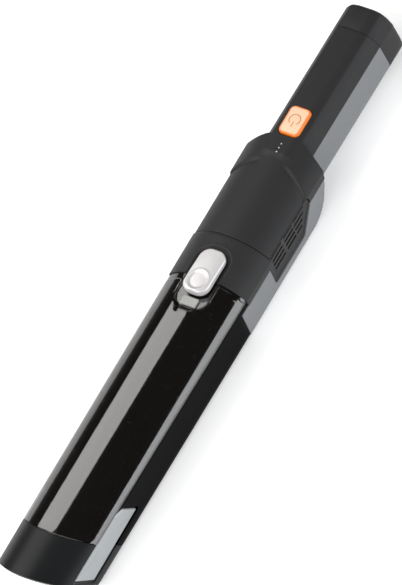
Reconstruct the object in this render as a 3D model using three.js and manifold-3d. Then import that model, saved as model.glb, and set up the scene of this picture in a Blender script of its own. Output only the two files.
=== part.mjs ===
// Cordless handheld vacuum: a long D-section body with a slanted nozzle, a smoked dust cup, a motor
// housing and a slim handle. Millimetres. +X runs from the nozzle to the handle's end, +Z is up, the
// belly rests on z = 0, and the origin is under the middle of the overall length.
import * as THREE from "three";
import { mergeVertices } from "three/addons/utils/BufferGeometryUtils.js";
import Module from "manifold-3d";

// ---------------------------------------------------------------- driving dimensions
// Lengths along the crown, one after another from the nozzle's tip.
const noseLength = 35.7;
const cupLength = 207.3;
const collarLength = 33.7;
const housingLength = 71.8;
const handleLength = 101.5;
const capLength = 20;

// Body section: flat belly, upright flanks and a shallow round crown.
const collarWidth = 61.3;
const bodyHeight = 49;
const crownRadius = 38.65;
const bellyCorner = 7;
const noseWidth = 56.4;
const cupInset = 0.9; // how far the cup stands in from the collar
const bellyInset = 0.6;
const housingInset = 1.45;
const housingDrop = 0.5;
const shoulderInset = 0.3;
const wall = 2;
const gap = 0.3; // between pieces that touch

// Slants seen from the side, in mm along X for each mm of height.
const tipRake = 0.7;
const seamRake = 0.62;

// Heights of the parting lines on the flanks.
const partingHeight = 28;
const ventBottom = 11;
const ventTop = 34.7;

// Vent panel and its slots.
const ventLead = 3.7; // the panel's tongue starts this far ahead of the housing seam
const ventKnee = 35.8; // housing seam to the lower end of the rear diagonal
const ventRear = 51.5; // housing seam to the panel's rear edge
const slotHeight = 1.9;
const slotPitch = 4.25;
const slotRows = 4;
const slotGroups = [
  { start: 1.6, length: 13.8, open: true },
  { start: 18.4, length: 11.5, open: true },
  { start: 31.2, length: 14.5, open: false },
];
const blindDepth = 0.8;
const foamDepth = 3; // exhaust foam behind the slots
const slotRise = 0.6; // how fast the blind slots shorten, mm along X for each mm down

// Lithium cells, which set the handle's width and depth.
const cellRadius = 9.15;
const cellLength = 65;
const handleWall = 1.5;
const handleRoom = 2.2;
const handleDrop = 2.4; // the handle's back falls this much to the end cap
const handleParting = 12; // dark back shell above, light shell below

// Release button on the crown.
const releaseLength = 34.6;
const releaseWidth = 19.4;
const releaseRise = 3;
const releaseOverhang = 13.6; // ahead of the collar, over the cup
const releaseCorner = 7.5;
const pocketDepth = 3.6; // the cup's crown drops this far under the button
const pocketSide = 3.3; // room beside the button
const pocketLead = 11; // room ahead of the button
const wellDepth = 8.5; // below the crown, inside the collar

// Power button and battery lights on the handle.
const powerLength = 22.6;
const powerWidth = 16.2;
const powerCorner = 4;
const powerRise = 1.5;
const powerTravel = 1.2;
const powerFromShoulder = 22.9;
const lightPitch = 3.3;
const lightRadius = 0.5;
const lightFromShoulder = 0.7;

// Air path.
const ductRadius = 12.5;
const ductWall = 1.5;
const ductHeight = 25;
const ductLength = 79; // from the nozzle seam at the duct's height to its upper rear lip
const ductRake = 0.48;
const flapThickness = 1.2;
const pinRadius = 0.7;

// Filter in the cup's rear mouth.
const filterLength = 84;
const filterTaper = 1.5;
const screenWall = 1.2;
const skirtLength = 10;
const skirtFlare = 1;
const pleats = 20;
const pleatDepth = 5;

// Motor.
const shaftRadius = 2;
const bearingRadius = 5.5;
const bearingWidth = 3;
const statorWall = 4.5;
const statorLength = 28;
const magnetRadius = 6.5;
const fanLength = 12;
const fanBlades = 9;

// Lamp in each flank of the nose.
const lampLength = 71;
const lampHeight = 20;
const lampFloor = 13.4;
const lampMargin = 4.2;
const lampLens = 1.6;
const lampDepth = 4;

// Screws.
const screwRadius = 1.3;
const screwHead = 2.6;
const screwHeadHeight = 1.6;
const bossRadius = 3.6;

// ---------------------------------------------------------------- stations worked out from them
const totalLength = noseLength + cupLength + collarLength + housingLength + handleLength + capLength;
const noseX = -totalLength / 2;
const seamX = noseX + noseLength;
const collarX = seamX + cupLength;
const housingX = collarX + collarLength;
const shoulderX = housingX + housingLength;
const capX = shoulderX + handleLength;
const endX = capX + capLength;
const bellyX = collarX - 8;

const cupHalf = collarWidth / 2 - cupInset;
const cupTop = bodyHeight - cupInset;
const axisHeight = bodyHeight / 2; // motor axis
const boreRadius = ductRadius - ductWall;
const foamOuter = collarWidth / 2 - housingInset - wall - gap;
const foamInner = foamOuter - foamDepth;
// The fan housing fits the body's height and stands between the two foam pads.
const shroudRadius = Math.min(bodyHeight / 2 - wall - 1.6, foamInner - 2 * gap);
const statorRadius = shroudRadius - 4.5;
const packHeight = 2 * cellRadius + Math.sqrt(3) * (cellRadius + gap / 2);
const handleHalf = 2 * cellRadius + gap / 2 + gap + handleWall;
const handleDepth = packHeight + 2 * (gap + handleWall) + handleRoom;
const lampInner = Math.min(noseWidth / 2, cupHalf) - lampLens - lampDepth;
const reach = 2 * collarWidth; // wider than anything on the body

// The cup's rear mouth goes into the collar, and its crown makes room for the release button.
const spigotInset = wall + gap; // inside the collar
const spigotWall = 1.5;
const spigotLength = 8;
const pocketFloor = cupTop - pocketDepth;
const pocketHalf = releaseWidth / 2 + pocketSide;
const pocketFront = collarX - releaseOverhang - pocketLead;
const releaseX0 = collarX - releaseOverhang;
const releaseX1 = releaseX0 + releaseLength;
const wellFloor = bodyHeight - wellDepth;
const wellWall = 1.5;
const wellBottom = wellFloor - wellWall;
const wellHalf = releaseWidth / 2 + 2 * gap + wellWall;
const filterHeight = pocketFloor / 2;
const filterRadius = pocketFloor / 2 - wall - 1.5;

// ---------------------------------------------------------------- solids
const wasm = await Module();
wasm.setup();

function solid(geometry) {
  const bare = geometry.index ? geometry.toNonIndexed() : geometry.clone();
  bare.deleteAttribute("normal");
  bare.deleteAttribute("uv");
  const merged = mergeVertices(bare, 1e-4);
  return new wasm.Manifold(
    new wasm.Mesh({
      numProp: 3,
      vertProperties: merged.attributes.position.array,
      triVerts: new Uint32Array(merged.index.array),
    }),
  );
}

function geometryOf(shape) {
  const { vertProperties, triVerts } = shape.getMesh();
  const geometry = new THREE.BufferGeometry();
  geometry.setAttribute("position", new THREE.BufferAttribute(vertProperties, 3));
  geometry.setIndex(new THREE.BufferAttribute(triVerts, 1));
  return geometry;
}

const axisX = new THREE.Vector3(1, 0, 0);
const axisY = new THREE.Vector3(0, 1, 0);
const axisZ = new THREE.Vector3(0, 0, 1);
const yzPlane = new THREE.Matrix4().makeBasis(axisY, axisZ, axisX);
const xzPlane = new THREE.Matrix4().makeBasis(axisX, axisZ, axisY.clone().negate());

function extruded(outline, depth, options = {}) {
  const shape = outline.isShape ? outline : new THREE.Shape(outline);
  return new THREE.ExtrudeGeometry(shape, { depth, bevelEnabled: false, ...options });
}

// Outlines are drawn in (y, z) for alongX, in (x, z) for alongY and in (x, y) for alongZ.
function alongX(outline, from, to) {
  return solid(extruded(outline, to - from).applyMatrix4(yzPlane).translate(from, 0, 0));
}

function alongY(outline, from, to) {
  return solid(extruded(outline, to - from).applyMatrix4(xzPlane).translate(0, to, 0));
}

function alongZ(outline, from, to) {
  return solid(extruded(outline, to - from).translate(0, 0, from));
}

function box(x0, x1, y0, y1, z0, z1) {
  const geometry = new THREE.BoxGeometry(x1 - x0, y1 - y0, z1 - z0);
  return solid(geometry.translate((x0 + x1) / 2, (y0 + y1) / 2, (z0 + z1) / 2));
}

function rodX(x0, x1, y, z, radius, sides = 20) {
  const geometry = new THREE.CylinderGeometry(radius, radius, x1 - x0, sides);
  return solid(geometry.rotateZ(-Math.PI / 2).translate((x0 + x1) / 2, y, z));
}

function rodY(y0, y1, x, z, radius, sides = 12) {
  const geometry = new THREE.CylinderGeometry(radius, radius, y1 - y0, sides);
  return solid(geometry.translate(x, (y0 + y1) / 2, z));
}

function rodZ(z0, z1, x, y, radius, sides = 12) {
  const geometry = new THREE.CylinderGeometry(radius, radius, z1 - z0, sides);
  return solid(geometry.rotateX(Math.PI / 2).translate(x, y, (z0 + z1) / 2));
}

// Profile points are [x, radius], turned about a line along X at the given height.
function turned(profile, height = axisHeight, sides = 24) {
  const points = profile.map(([x, radius]) => new THREE.Vector2(radius, x));
  if (THREE.ShapeUtils.isClockWise(points)) {
    points.reverse();
  }
  if (points[0].x > 0) {
    points.push(points[0].clone());
  }
  const geometry = new THREE.LatheGeometry(points, sides);
  return solid(geometry.rotateZ(-Math.PI / 2).translate(0, 0, height));
}

// Two distances out from the middle plane, on one side of it, lower y first.
function span(side, near, far) {
  return side > 0 ? [near, far] : [-far, -near];
}

function joined(...shapes) {
  return shapes.flat().reduce((sum, shape) => sum.add(shape));
}

function cut(shape, ...tools) {
  return tools.flat().reduce((rest, tool) => rest.subtract(tool), shape);
}

function common(...shapes) {
  return shapes.reduce((rest, shape) => rest.intersect(shape));
}

// ---------------------------------------------------------------- outlines
function arc(centreX, centreY, radius, from, to, steps) {
  return Array.from({ length: steps + 1 }, (_, i) => {
    const angle = from + ((to - from) * i) / steps;
    return new THREE.Vector2(centreX + radius * Math.cos(angle), centreY + radius * Math.sin(angle));
  });
}

function points(...pairs) {
  return pairs.map(([x, y]) => new THREE.Vector2(x, y));
}

const quarter = Math.PI / 2;

function roundedRectangle(x0, x1, halfWidth, corner, steps = 4) {
  return [
    ...arc(x1 - corner, corner - halfWidth, corner, -quarter, 0, steps),
    ...arc(x1 - corner, halfWidth - corner, corner, 0, quarter, steps),
    ...arc(x0 + corner, halfWidth - corner, corner, quarter, 2 * quarter, steps),
    ...arc(x0 + corner, corner - halfWidth, corner, 2 * quarter, 3 * quarter, steps),
  ];
}

// Body section: half its width, its crown's height and its belly's height.
function hull(half, top, floor, crownSteps = 14) {
  const corner = Math.max(bellyCorner - floor, 1);
  const ridge = Math.acos(half / crownRadius);
  return [
    ...arc(half - corner, floor + corner, corner, -quarter, 0, 3),
    ...arc(0, top - crownRadius, crownRadius, ridge, Math.PI - ridge, crownSteps),
    ...arc(corner - half, floor + corner, corner, 2 * quarter, 3 * quarter, 3),
  ];
}

function ridgeHeight(half, top) {
  return top - crownRadius + Math.sqrt(crownRadius ** 2 - half ** 2);
}

function tipLine(z) {
  return noseX + tipRake * (cupTop - z);
}

function seamLine(z) {
  return seamX + seamRake * (cupTop - z);
}

// The part of space between two slanted lines, seen from the side.
function between(front, rear) {
  const low = -bellyCorner;
  const high = bodyHeight + bellyCorner;
  const outline = points([front(low), low], [rear(low), low], [rear(high), high], [front(high), high]);
  return alongY(outline, -reach, reach);
}

function handleTop(x) {
  return bodyHeight - (handleDrop * (x - shoulderX)) / (endX - shoulderX);
}

// Handle section at the shoulder: a narrow spine, two slopes to the parting line, then near-upright
// sides.
function handleOutline(inset) {
  const wide = (handleHalf - inset) / handleHalf;
  const tall = (handleDepth - 2 * inset) / handleDepth;
  const corner = 8 - inset;
  const spine = 0.3 * handleHalf * wide;
  const half = [
    [0.57 * handleHalf, 1.5],
    [0.78 * handleHalf, 6],
    [0.92 * handleHalf, handleParting],
    [handleHalf, 0.72 * handleDepth],
  ].map(([y, down]) => [y * wide, bodyHeight - inset - down * tall]);
  const bottom = bodyHeight - handleDepth + inset;
  const side = handleHalf - inset;
  return [
    ...arc(side - corner, bottom + corner, corner, -quarter, 0, 3),
    ...points(...[...half].reverse()),
    ...points([spine, bodyHeight - inset], [-spine, bodyHeight - inset]),
    ...points(...half.map(([y, z]) => [-y, z])),
    ...arc(corner - side, bottom + corner, corner, 2 * quarter, 3 * quarter, 3),
  ];
}

// The handle's section carried along the falling line of its back.
function handleBar(inset, from, to, options = {}) {
  const fall = -handleDrop / (endX - shoulderX);
  const shear = new THREE.Matrix4().makeShear(0, fall, 0, 0, 0, 0);
  const lift = new THREE.Matrix4().makeTranslation(0, 0, -fall * shoulderX);
  const geometry = extruded(handleOutline(inset), to - from, options);
  geometry.applyMatrix4(yzPlane).translate(from, 0, 0);
  return solid(geometry.applyMatrix4(shear).applyMatrix4(lift));
}

// ---------------------------------------------------------------- dust cup and nozzle
// Seen from above the cup narrows evenly from the collar to the nozzle's tip.
function taper(inset) {
  const front = noseWidth / 2 - inset;
  const rear = cupHalf - inset;
  const far = collarX + (collarX - noseX);
  const wide = 2 * rear - front;
  return alongZ(points([noseX, -front], [far, -wide], [far, wide], [noseX, front]), -reach, reach);
}

function cupHull(inset, from, to) {
  return alongX(hull(cupHalf - inset, cupTop - inset, inset), from, to).intersect(taper(inset));
}

// Outline of a flank lamp seen from the side, grown by a margin. Its front edge follows the nozzle's tip.
function lampOutline(grow) {
  const bottom = lampFloor - grow;
  const top = lampFloor + lampHeight + grow;
  const front = (z) => tipLine(z) + lampMargin - grow;
  const rear = tipLine(lampFloor + lampHeight) + lampMargin + lampLength + grow;
  const chamfer = 10;
  return points(
    [front(bottom), bottom],
    [rear, bottom + 1.2],
    [rear - chamfer, top - 4],
    [rear - 2 * chamfer, top],
    [front(top), top],
  );
}

function lampBlock(side, grow, inner) {
  const edges = span(side, inner, reach);
  return alongY(lampOutline(grow), ...edges);
}

const sides = { left: 1, right: -1 };
const lampBlocks = joined(Object.values(sides).map((side) => lampBlock(side, wall, lampInner - wall)));
const lampBlockRoom = joined(
  Object.values(sides).map((side) => lampBlock(side, wall + gap, lampInner - wall - gap)),
);
const lampPockets = joined(Object.values(sides).map((side) => lampBlock(side, gap, lampInner)));

function nozzle() {
  const backWall = (z) => seamLine(z) - gap - wall;
  const step = 1.2; // the nozzle's underside stands this far above the belly
  const body = alongX(hull(cupHalf, cupTop, step), noseX, seamLine(0) + wall).intersect(taper(0));
  const shell = common(body, between(tipLine, (z) => seamLine(z) - gap));
  const hollow = cupHull(wall + step / 2, noseX, seamLine(0));
  const mouth = cut(common(hollow, between((z) => tipLine(z) - wall, backWall)), lampBlocks);
  const bore = rodX(noseX, seamLine(0), 0, ductHeight, boreRadius);
  return cut(shell, mouth, lampPockets, bore);
}

// The cup and its tray part along a line just under the ridge.
const ridgeDrop = 0.4;
const frontRidge = ridgeHeight(noseWidth / 2, cupTop) - ridgeDrop;
const rearRidge = ridgeHeight(cupHalf, cupTop) - ridgeDrop;
const ridgeSlope = (rearRidge - frontRidge) / (collarX - noseX);

function ridgeLine(x) {
  return frontRidge + ridgeSlope * (x - noseX);
}

function aboveRidge(offset) {
  const low = ridgeLine(noseX) + offset;
  const high = ridgeLine(endX) + offset;
  return alongY(points([noseX, low], [endX, high], [endX, reach], [noseX, reach]), -reach, reach);
}

function cupMouth(inset, from, to) {
  return alongX(hull(collarWidth / 2 - inset, bodyHeight - inset, 0), from, to);
}

// Room around the release button, let into the cup's crown and open to the rear.
function releasePocket(grow, floor) {
  const corner = pocketHalf + grow;
  const outline = roundedRectangle(pocketFront - grow, housingX, pocketHalf + grow, corner * 0.8);
  return alongZ(outline, floor, reach);
}

function cupClear() {
  const front = (z) => seamLine(z) + gap;
  const outer = common(cupHull(0, noseX, collarX - gap), between(front, () => endX));
  const spigotEnd = collarX + spigotLength;
  const spigot = cupMouth(spigotInset, collarX - 2 * wall, spigotEnd);
  const mouth = cupMouth(spigotInset + spigotWall, collarX - 3 * wall, spigotEnd + wall);
  const hollow = cut(cupHull(wall, noseX, collarX - 3 * wall), releasePocket(wall, pocketFloor - wall));
  const throat = cut(mouth, releasePocket(wall, pocketFloor - wall));
  const crown = common(joined(outer, spigot), aboveRidge(0));
  const wellRoom = box(collarX - gap, endX, -wellHalf - gap, wellHalf + gap, wellBottom - gap, reach);
  return cut(crown, hollow, throat, releasePocket(0, pocketFloor), wellRoom);
}

function cupTray() {
  const front = (z) => seamLine(z) + gap;
  const outer = common(cupHull(0, noseX, collarX - gap), between(front, () => endX));
  const belly = box(bellyX - gap, endX, -reach, reach, -reach, partingHeight + gap);
  const hollow = cut(cupHull(wall, noseX, endX), lampBlocks);
  return cut(outer, belly, hollow, lampPockets, aboveRidge(-gap));
}

// Round duct from the nozzle into the cup, on a flange that closes the cup's front.
const ductX = seamLine(ductHeight);
const lipX = ductX + ductLength;

function ductEnd(z) {
  return lipX - ductRake * (ductHeight + ductRadius - z);
}

const hingeX = lipX + 1.6;
const hingeZ = ductHeight + ductRadius + 3;
const knuckleHalf = 3.5;
const earInner = 7.4;
const earOuter = 9.2;

function inletDuct() {
  const from = (z) => seamLine(z) + 2 * gap;
  const section = cupHull(wall + gap, noseX, collarX);
  const flange = cut(common(section, between(from, (z) => from(z) + wall)), lampBlockRoom);
  const tube = common(
    rodX(noseX, lipX, 0, ductHeight, ductRadius),
    between(from, ductEnd),
  );
  const ears = [-1, 1].map((side) => {
    const edges = span(side, earInner, earOuter);
    return box(hingeX - 9, hingeX + 2, ...edges, ductHeight + ductRadius - 1, hingeZ + 2);
  });
  const bar = box(hingeX - 9, hingeX - 5.5, -earOuter, earOuter, hingeZ - 5, hingeZ + 2);
  const swing = rodY(-earInner, earInner, hingeX, hingeZ, 2.7);
  const body = joined(flange, cut(joined(tube, bar, ears), swing));
  const bore = rodX(noseX, lipX + wall, 0, ductHeight, boreRadius);
  const pinHole = rodY(-reach, reach, hingeX, hingeZ, pinRadius + gap);
  return cut(body, bore, pinHole);
}

// Flap that hangs over the duct's slanted end. Modelled upright on its hinge, then tilted to the duct.
const flapTilt = Math.atan(ductRake);

function inletFlap() {
  const drop = (hingeZ - ductHeight) / Math.cos(flapTilt) - 1.3;
  const rear = gap + flapThickness;
  const disc = rodX(gap, rear, 0, -drop, ductRadius + 0.5);
  const tab = box(gap, rear, -knuckleHalf, knuckleHalf, -drop, 0);
  const knuckle = rodY(-knuckleHalf, knuckleHalf, 0, 0, pinRadius + gap + 1);
  const bore = rodY(-reach, reach, 0, 0, pinRadius + gap);
  return cut(joined(disc, tab, knuckle), bore);
}

function coil(radius, wire, height, turns) {
  class Helix extends THREE.Curve {
    getPoint(t, target = new THREE.Vector3()) {
      const angle = 2 * Math.PI * turns * t;
      return target.set(radius * Math.cos(angle), radius * Math.sin(angle), height * t);
    }
  }
  const section = new THREE.Shape(arc(0, 0, wire, 0, 2 * Math.PI, 5).slice(0, 5));
  const steps = turns * 9;
  return new THREE.ExtrudeGeometry(section, { steps, extrudePath: new Helix(), bevelEnabled: false });
}

function flapSpring() {
  const room = earInner - knuckleHalf - 2 * gap;
  const wire = 0.3;
  const geometry = coil(pinRadius + 2 * gap + wire / 2, wire, room - 2 * wire, 3);
  return solid(geometry.rotateX(-quarter).translate(hingeX, knuckleHalf + gap + wire, hingeZ));
}

function lampLensPiece(side) {
  const inner = lampInner + lampDepth;
  return lampBlock(side, 0, inner).intersect(taper(0.15));
}

function lampBoard(side) {
  const edges = span(side, lampInner + gap, lampInner + gap + 1.2);
  return alongY(lampOutline(-1), ...edges);
}

function cupCatch() {
  const rear = collarX - releaseOverhang - 2;
  return box(rear - 6.5, rear, -6, 6, pocketFloor + gap, pocketFloor + gap + 1.8);
}

// ---------------------------------------------------------------- filter
const filterRear = collarX - 10;
const filterNose = filterRear - filterLength;

function screenRadius(x) {
  return filterRadius - (filterTaper * (filterRear - x)) / filterLength;
}

function filterScreen() {
  const front = screenRadius(filterNose);
  const skirtRoot = filterNose + 6;
  const skirtEdge = filterNose - skirtLength;
  const inner = front - screenWall;
  const body = turned([
    [filterNose - 1 + screenWall, 0],
    [filterNose + screenWall, 0.66 * front],
    [filterNose + 2 + screenWall, inner],
    [filterRear, filterRadius - screenWall],
    [filterRear, filterRadius],
    [skirtRoot, screenRadius(skirtRoot)],
    [skirtEdge, front + skirtFlare],
    [skirtEdge, front + skirtFlare - screenWall],
    [filterNose + 1, front - 0.2],
    [filterNose, 0.7 * front],
    [filterNose - 1, 0],
  ], filterHeight);
  const rings = 3;
  const perRing = 8;
  const holes = [];
  for (let ring = 0; ring < rings; ring += 1) {
    const x = filterRear - 9 - (ring * (filterLength - 26)) / (rings - 1);
    for (let i = 0; i < perRing; i += 1) {
      const angle = (2 * Math.PI * (i + (ring % 2) / 2)) / perRing;
      const hole = new THREE.CylinderGeometry(3, 3, filterRadius, 6);
      hole.translate(0, filterRadius, 0).rotateX(angle).translate(x, 0, filterHeight);
      holes.push(solid(hole));
    }
  }
  return cut(body, joined(holes));
}

function hepaFilter() {
  const outer = screenRadius(filterNose + 16) - screenWall - gap;
  const star = (radius, depth) =>
    Array.from({ length: 2 * pleats }, (_, i) => {
      const angle = (Math.PI * i) / pleats;
      const r = radius - (i % 2) * depth;
      return new THREE.Vector2(r * Math.cos(angle), filterHeight + r * Math.sin(angle));
    });
  const folded = alongX(star(outer, pleatDepth), filterNose + 16, filterRear - gap);
  const core = alongX(star(outer - 2, pleatDepth), filterNose + 18, filterRear + wall);
  return cut(folded, core);
}

function filterRing() {
  const inset = spigotInset + spigotWall + gap;
  const plate = common(
    cupMouth(inset, filterRear + gap, collarX - wall),
    alongX(hull(housingHalf - wall - gap, cupTop - wall, wall + gap), noseX, collarX),
    box(noseX, endX, -reach, reach, 0, pocketFloor - wall - gap),
  );
  return cut(plate, rodX(filterRear - wall, endX, 0, filterHeight, filterRadius - screenWall - 1, 24));
}

// ---------------------------------------------------------------- shells
function bellyOutline(inset) {
  const radiusX = shoulderX - 1 - (housingX + 46);
  const centreX = shoulderX - 1 - radiusX;
  const curve = new THREE.EllipseCurve(
    centreX,
    partingHeight,
    radiusX - inset,
    partingHeight - inset,
    -quarter,
    0,
  );
  const front = inset ? -reach : bellyX;
  return [
    ...points([front, inset]),
    ...curve.getPoints(8),
    ...points([shoulderX - 1 - inset, bodyHeight + inset], [front, bodyHeight + inset]),
  ];
}

const housingHalf = collarWidth / 2 - housingInset;
const housingTop = bodyHeight - housingDrop;
const bellyHalf = collarWidth / 2 - bellyInset;

// The shoulder's rear rim, seen from the side, leans back towards the crown.
function rimPoints(offset) {
  const curve = new THREE.QuadraticBezierCurve(
    new THREE.Vector2(shoulderX + offset, partingHeight),
    new THREE.Vector2(shoulderX + 1 + offset, partingHeight + 12),
    new THREE.Vector2(shoulderX + 13.5 + offset, bodyHeight),
  );
  return curve.getPoints(6);
}

// Room inside the two shells: the motor bay and the handle.
function shellRoom() {
  const bay = common(
    alongX(hull(housingHalf - wall, housingTop - wall, wall), -reach, shoulderX),
    alongY(bellyOutline(wall), -reach, reach),
  );
  return joined(bay, handleBar(handleWall, shoulderX - 22, endX));
}

// Ribs that hold the motor: cross walls with round seats.
const shroudX = releaseX1 + wellWall + 4 * gap;
const statorX = shroudX + fanLength + 9;
const mountWall = 1;
const seats = [
  { x: shroudX + 4, width: 5, radius: shroudRadius + mountWall + 2 * gap },
  { x: statorX + statorLength - 8, width: 5, radius: statorRadius + 2 * mountWall + 2 * gap },
];

function cradle() {
  return joined(
    seats.map(({ x, width, radius }) => {
      const wallPiece = common(
        alongX(hull(housingHalf - wall / 2, housingTop - wall / 2, wall / 2), x, x + width),
        alongY(bellyOutline(wall / 2), -reach, reach),
      );
      return cut(wallPiece, rodX(-reach, reach, 0, axisHeight, radius, 24));
    }),
  );
}

const screwSpots = [
  { x: collarX + spigotLength + wall + 3 * gap + bossRadius, y: collarWidth / 2 - 8.6 },
  { x: shoulderX - 14.5, y: collarWidth / 2 - 11 },
];
const seatDrop = 7; // thickness of plastic under each screw's seat
const seatHeight = partingHeight - seatDrop;

function bosses(spot, from, to) {
  return [-1, 1].map((side) => rodZ(from, to, spot.x, side * spot.y, bossRadius));
}

function bores(spot, from, to, radius) {
  return [-1, 1].map((side) => rodZ(from, to, spot.x, side * spot.y, radius));
}

function ventOutline(grow) {
  const front = housingX - ventLead - grow;
  const bottom = ventBottom - grow;
  const rear = housingX + ventRear + grow;
  const top = ventTop + grow;
  const corner = 3;
  return [
    ...arc(front + corner, bottom + corner, corner, 2 * quarter, 3 * quarter, 3),
    ...points([housingX + ventKnee, bottom], [rear, partingHeight - gap]),
    ...points([rear, top], [housingX + gap - grow, top]),
    ...points([housingX + gap - grow, partingHeight + grow - gap], [front, partingHeight + grow - gap]),
  ];
}

function ventRecess(grow) {
  const inner = housingHalf - wall - gap;
  return [-1, 1].map((side) => {
    const edges = span(side, inner, reach);
    return alongY(ventOutline(grow), ...edges);
  });
}

function ventPanel(side) {
  const outer = housingHalf + 0.3;
  const inner = housingHalf - wall;
  const edges = span(side, inner, outer);
  const plate = alongY(ventOutline(0), ...edges);
  const slots = [];
  for (const group of slotGroups) {
    for (let row = 0; row < slotRows; row += 1) {
      const top = ventTop - 0.9 - row * slotPitch;
      const x0 = housingX + group.start;
      const shorter = group.open ? 0 : slotRise * row * slotPitch;
      const depth = group.open ? wall + 1 : blindDepth;
      const faces = span(side, outer - depth, outer + 1);
      slots.push(box(x0, x0 + group.length - shorter, ...faces, top - slotHeight, top));
    }
  }
  return cut(plate, joined(slots));
}

// The power button's cap stands on a flange that moves in a room under the handle's back.
const powerX = shoulderX + powerFromShoulder;
const powerDepth = 5.4;
const powerBottom = handleTop(powerX) + powerRise - powerDepth;
const flangeTop = powerBottom + 1.2;
const flangeLength = powerLength - 3;
const flangeHalf = powerWidth / 2 + 1;

function flangeRoom() {
  const half = flangeLength / 2 + gap;
  const side = flangeHalf + gap;
  return box(powerX - half, powerX + half, -side, side, powerBottom - powerTravel - gap, flangeTop + gap);
}

function upperShell() {
  const crown = alongX(hull(housingHalf, housingTop, 0), housingX + gap, shoulderX);
  const shoulderFront = points(
    [housingX + 46.5, partingHeight],
    [housingX + 48.5, ventTop],
    [housingX + 55, 0.86 * bodyHeight],
    [housingX + 61, 0.97 * bodyHeight],
    [housingX + 63, bodyHeight + wall],
  );
  const shoulder = common(
    alongX(hull(collarWidth / 2 - shoulderInset, bodyHeight, 0), housingX, shoulderX + 2 * wall + 10),
    alongY([...rimPoints(0), ...shoulderFront.reverse()], -reach, reach),
  );
  const ramp = points(
    [shoulderX - 14, bodyHeight - 2.6],
    [shoulderX - 1, bodyHeight + 0.6],
    [shoulderX - 14, bodyHeight + reach],
  );
  const back = cut(handleBar(0, shoulderX - 14, capX - gap), alongY(ramp, -reach, reach));
  const region = alongY(
    [
      ...points([housingX, ventTop + gap], [housingX + ventRear + gap, ventTop + gap]),
      ...points([housingX + ventRear + gap, partingHeight + gap], [shoulderX, partingHeight + gap]),
      ...rimPoints(0).filter((p) => p.y > partingHeight + gap && p.y < bodyHeight - handleParting),
      ...points([shoulderX + 3, bodyHeight - handleParting]),
      ...points([capX, handleTop(capX) - handleParting], [capX, reach], [housingX, reach]),
    ],
    -reach,
    reach,
  );
  const spot = screwSpots[1];
  const pillars = bosses(spot, partingHeight + gap, housingTop - wall).map((pillar) =>
    pillar.intersect(alongX(hull(housingHalf, housingTop, 0), housingX, shoulderX)),
  );
  const shell = joined(
    cut(common(joined(crown, shoulder, back), region), shellRoom()),
    common(cradle(), region),
    pillars,
  );
  const edge = powerLength / 2 + gap;
  const outline = roundedRectangle(powerX - edge, powerX + edge, powerWidth / 2 + gap, powerCorner + gap);
  const window = alongZ(outline, bodyHeight - 8, reach);
  return cut(
    shell,
    window,
    flangeRoom(),
    lightSpots.map((x) => rodZ(bodyHeight - 8, reach, x, 0, lightRadius + gap, 8)),
    bores(spot, partingHeight, partingHeight + 9, screwRadius + gap),
  );
}

function lowerShell() {
  const belly = common(
    alongX(hull(bellyHalf, bodyHeight, 0), bellyX, shoulderX),
    alongY(bellyOutline(0), -reach, reach),
  );
  const bar = handleBar(0, shoulderX - 22, capX - gap);
  const region = alongY(
    [
      ...points([bellyX, -reach], [capX, -reach], [capX, handleTop(capX) - handleParting - gap]),
      ...points([shoulderX + 3 + gap, bodyHeight - handleParting - gap]),
      ...rimPoints(gap)
        .filter((p) => p.y > partingHeight && p.y < bodyHeight - handleParting - gap)
        .reverse(),
      ...points([shoulderX + gap, partingHeight], [bellyX, partingHeight]),
    ],
    -reach,
    reach,
  );
  const pillars = screwSpots.flatMap((spot) => bosses(spot, 0, partingHeight));
  const shell = joined(
    cut(common(joined(belly, bar), region), shellRoom()),
    common(joined(pillars), joined(belly, bar)),
    common(cradle(), region),
  );
  return cut(
    shell,
    ventRecess(gap),
    screwSpots.flatMap((spot) => bores(spot, -reach, seatHeight, screwHead + gap)),
    screwSpots.flatMap((spot) => bores(spot, 0, partingHeight + 1, screwRadius + gap)),
  );
}

// Ring behind the cup, with a well in its crown for the release button.
const releasePivotX = releaseX1 - 5;
const releasePivotZ = bodyHeight - 4;
const releasePin = 1;

function releaseOutline(grow) {
  const half = releaseWidth / 2 + grow;
  return roundedRectangle(releaseX0 - grow, releaseX1 + grow, half, releaseCorner + grow);
}

function collar() {
  const ring = cut(
    alongX(hull(collarWidth / 2, bodyHeight, 0), collarX, housingX - gap),
    alongX(hull(collarWidth / 2 - wall, bodyHeight - wall, wall), noseX, endX),
  );
  const upper = box(noseX, endX, -reach, reach, partingHeight + gap, reach);
  const well = common(
    box(collarX + gap, releaseX1 + 2 * gap + wellWall, -wellHalf, wellHalf, wellBottom, bodyHeight),
    alongX(hull(collarWidth / 2, bodyHeight, 0), noseX, endX),
  );
  const room = alongZ(releaseOutline(2 * gap), wellFloor, reach);
  const frontHalf = wellHalf - wellWall;
  const frontRoom = box(noseX, collarX + wall, -frontHalf, frontHalf, wellFloor, reach);
  const ears = [-1, 1].map((side) => {
    const edges = span(side, 5.6, 7.8);
    return box(releasePivotX - 3, releasePivotX + 3, ...edges, wellFloor - 1, releasePivotZ + 1.9);
  });
  const spot = screwSpots[0];
  const pillars = bosses(spot, partingHeight + gap, bodyHeight).map((pillar) =>
    pillar.intersect(alongX(hull(collarWidth / 2, bodyHeight, 0), collarX, housingX)),
  );
  return cut(
    joined(cut(joined(common(ring, upper), well), room, frontRoom), ears, pillars),
    rodY(-reach / 2, reach / 2, releasePivotX, releasePivotZ, releasePin + gap).intersect(
      box(noseX, endX, -8, 8, 0, reach),
    ),
    bores(spot, partingHeight, partingHeight + 7, screwRadius + gap),
  );
}

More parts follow.
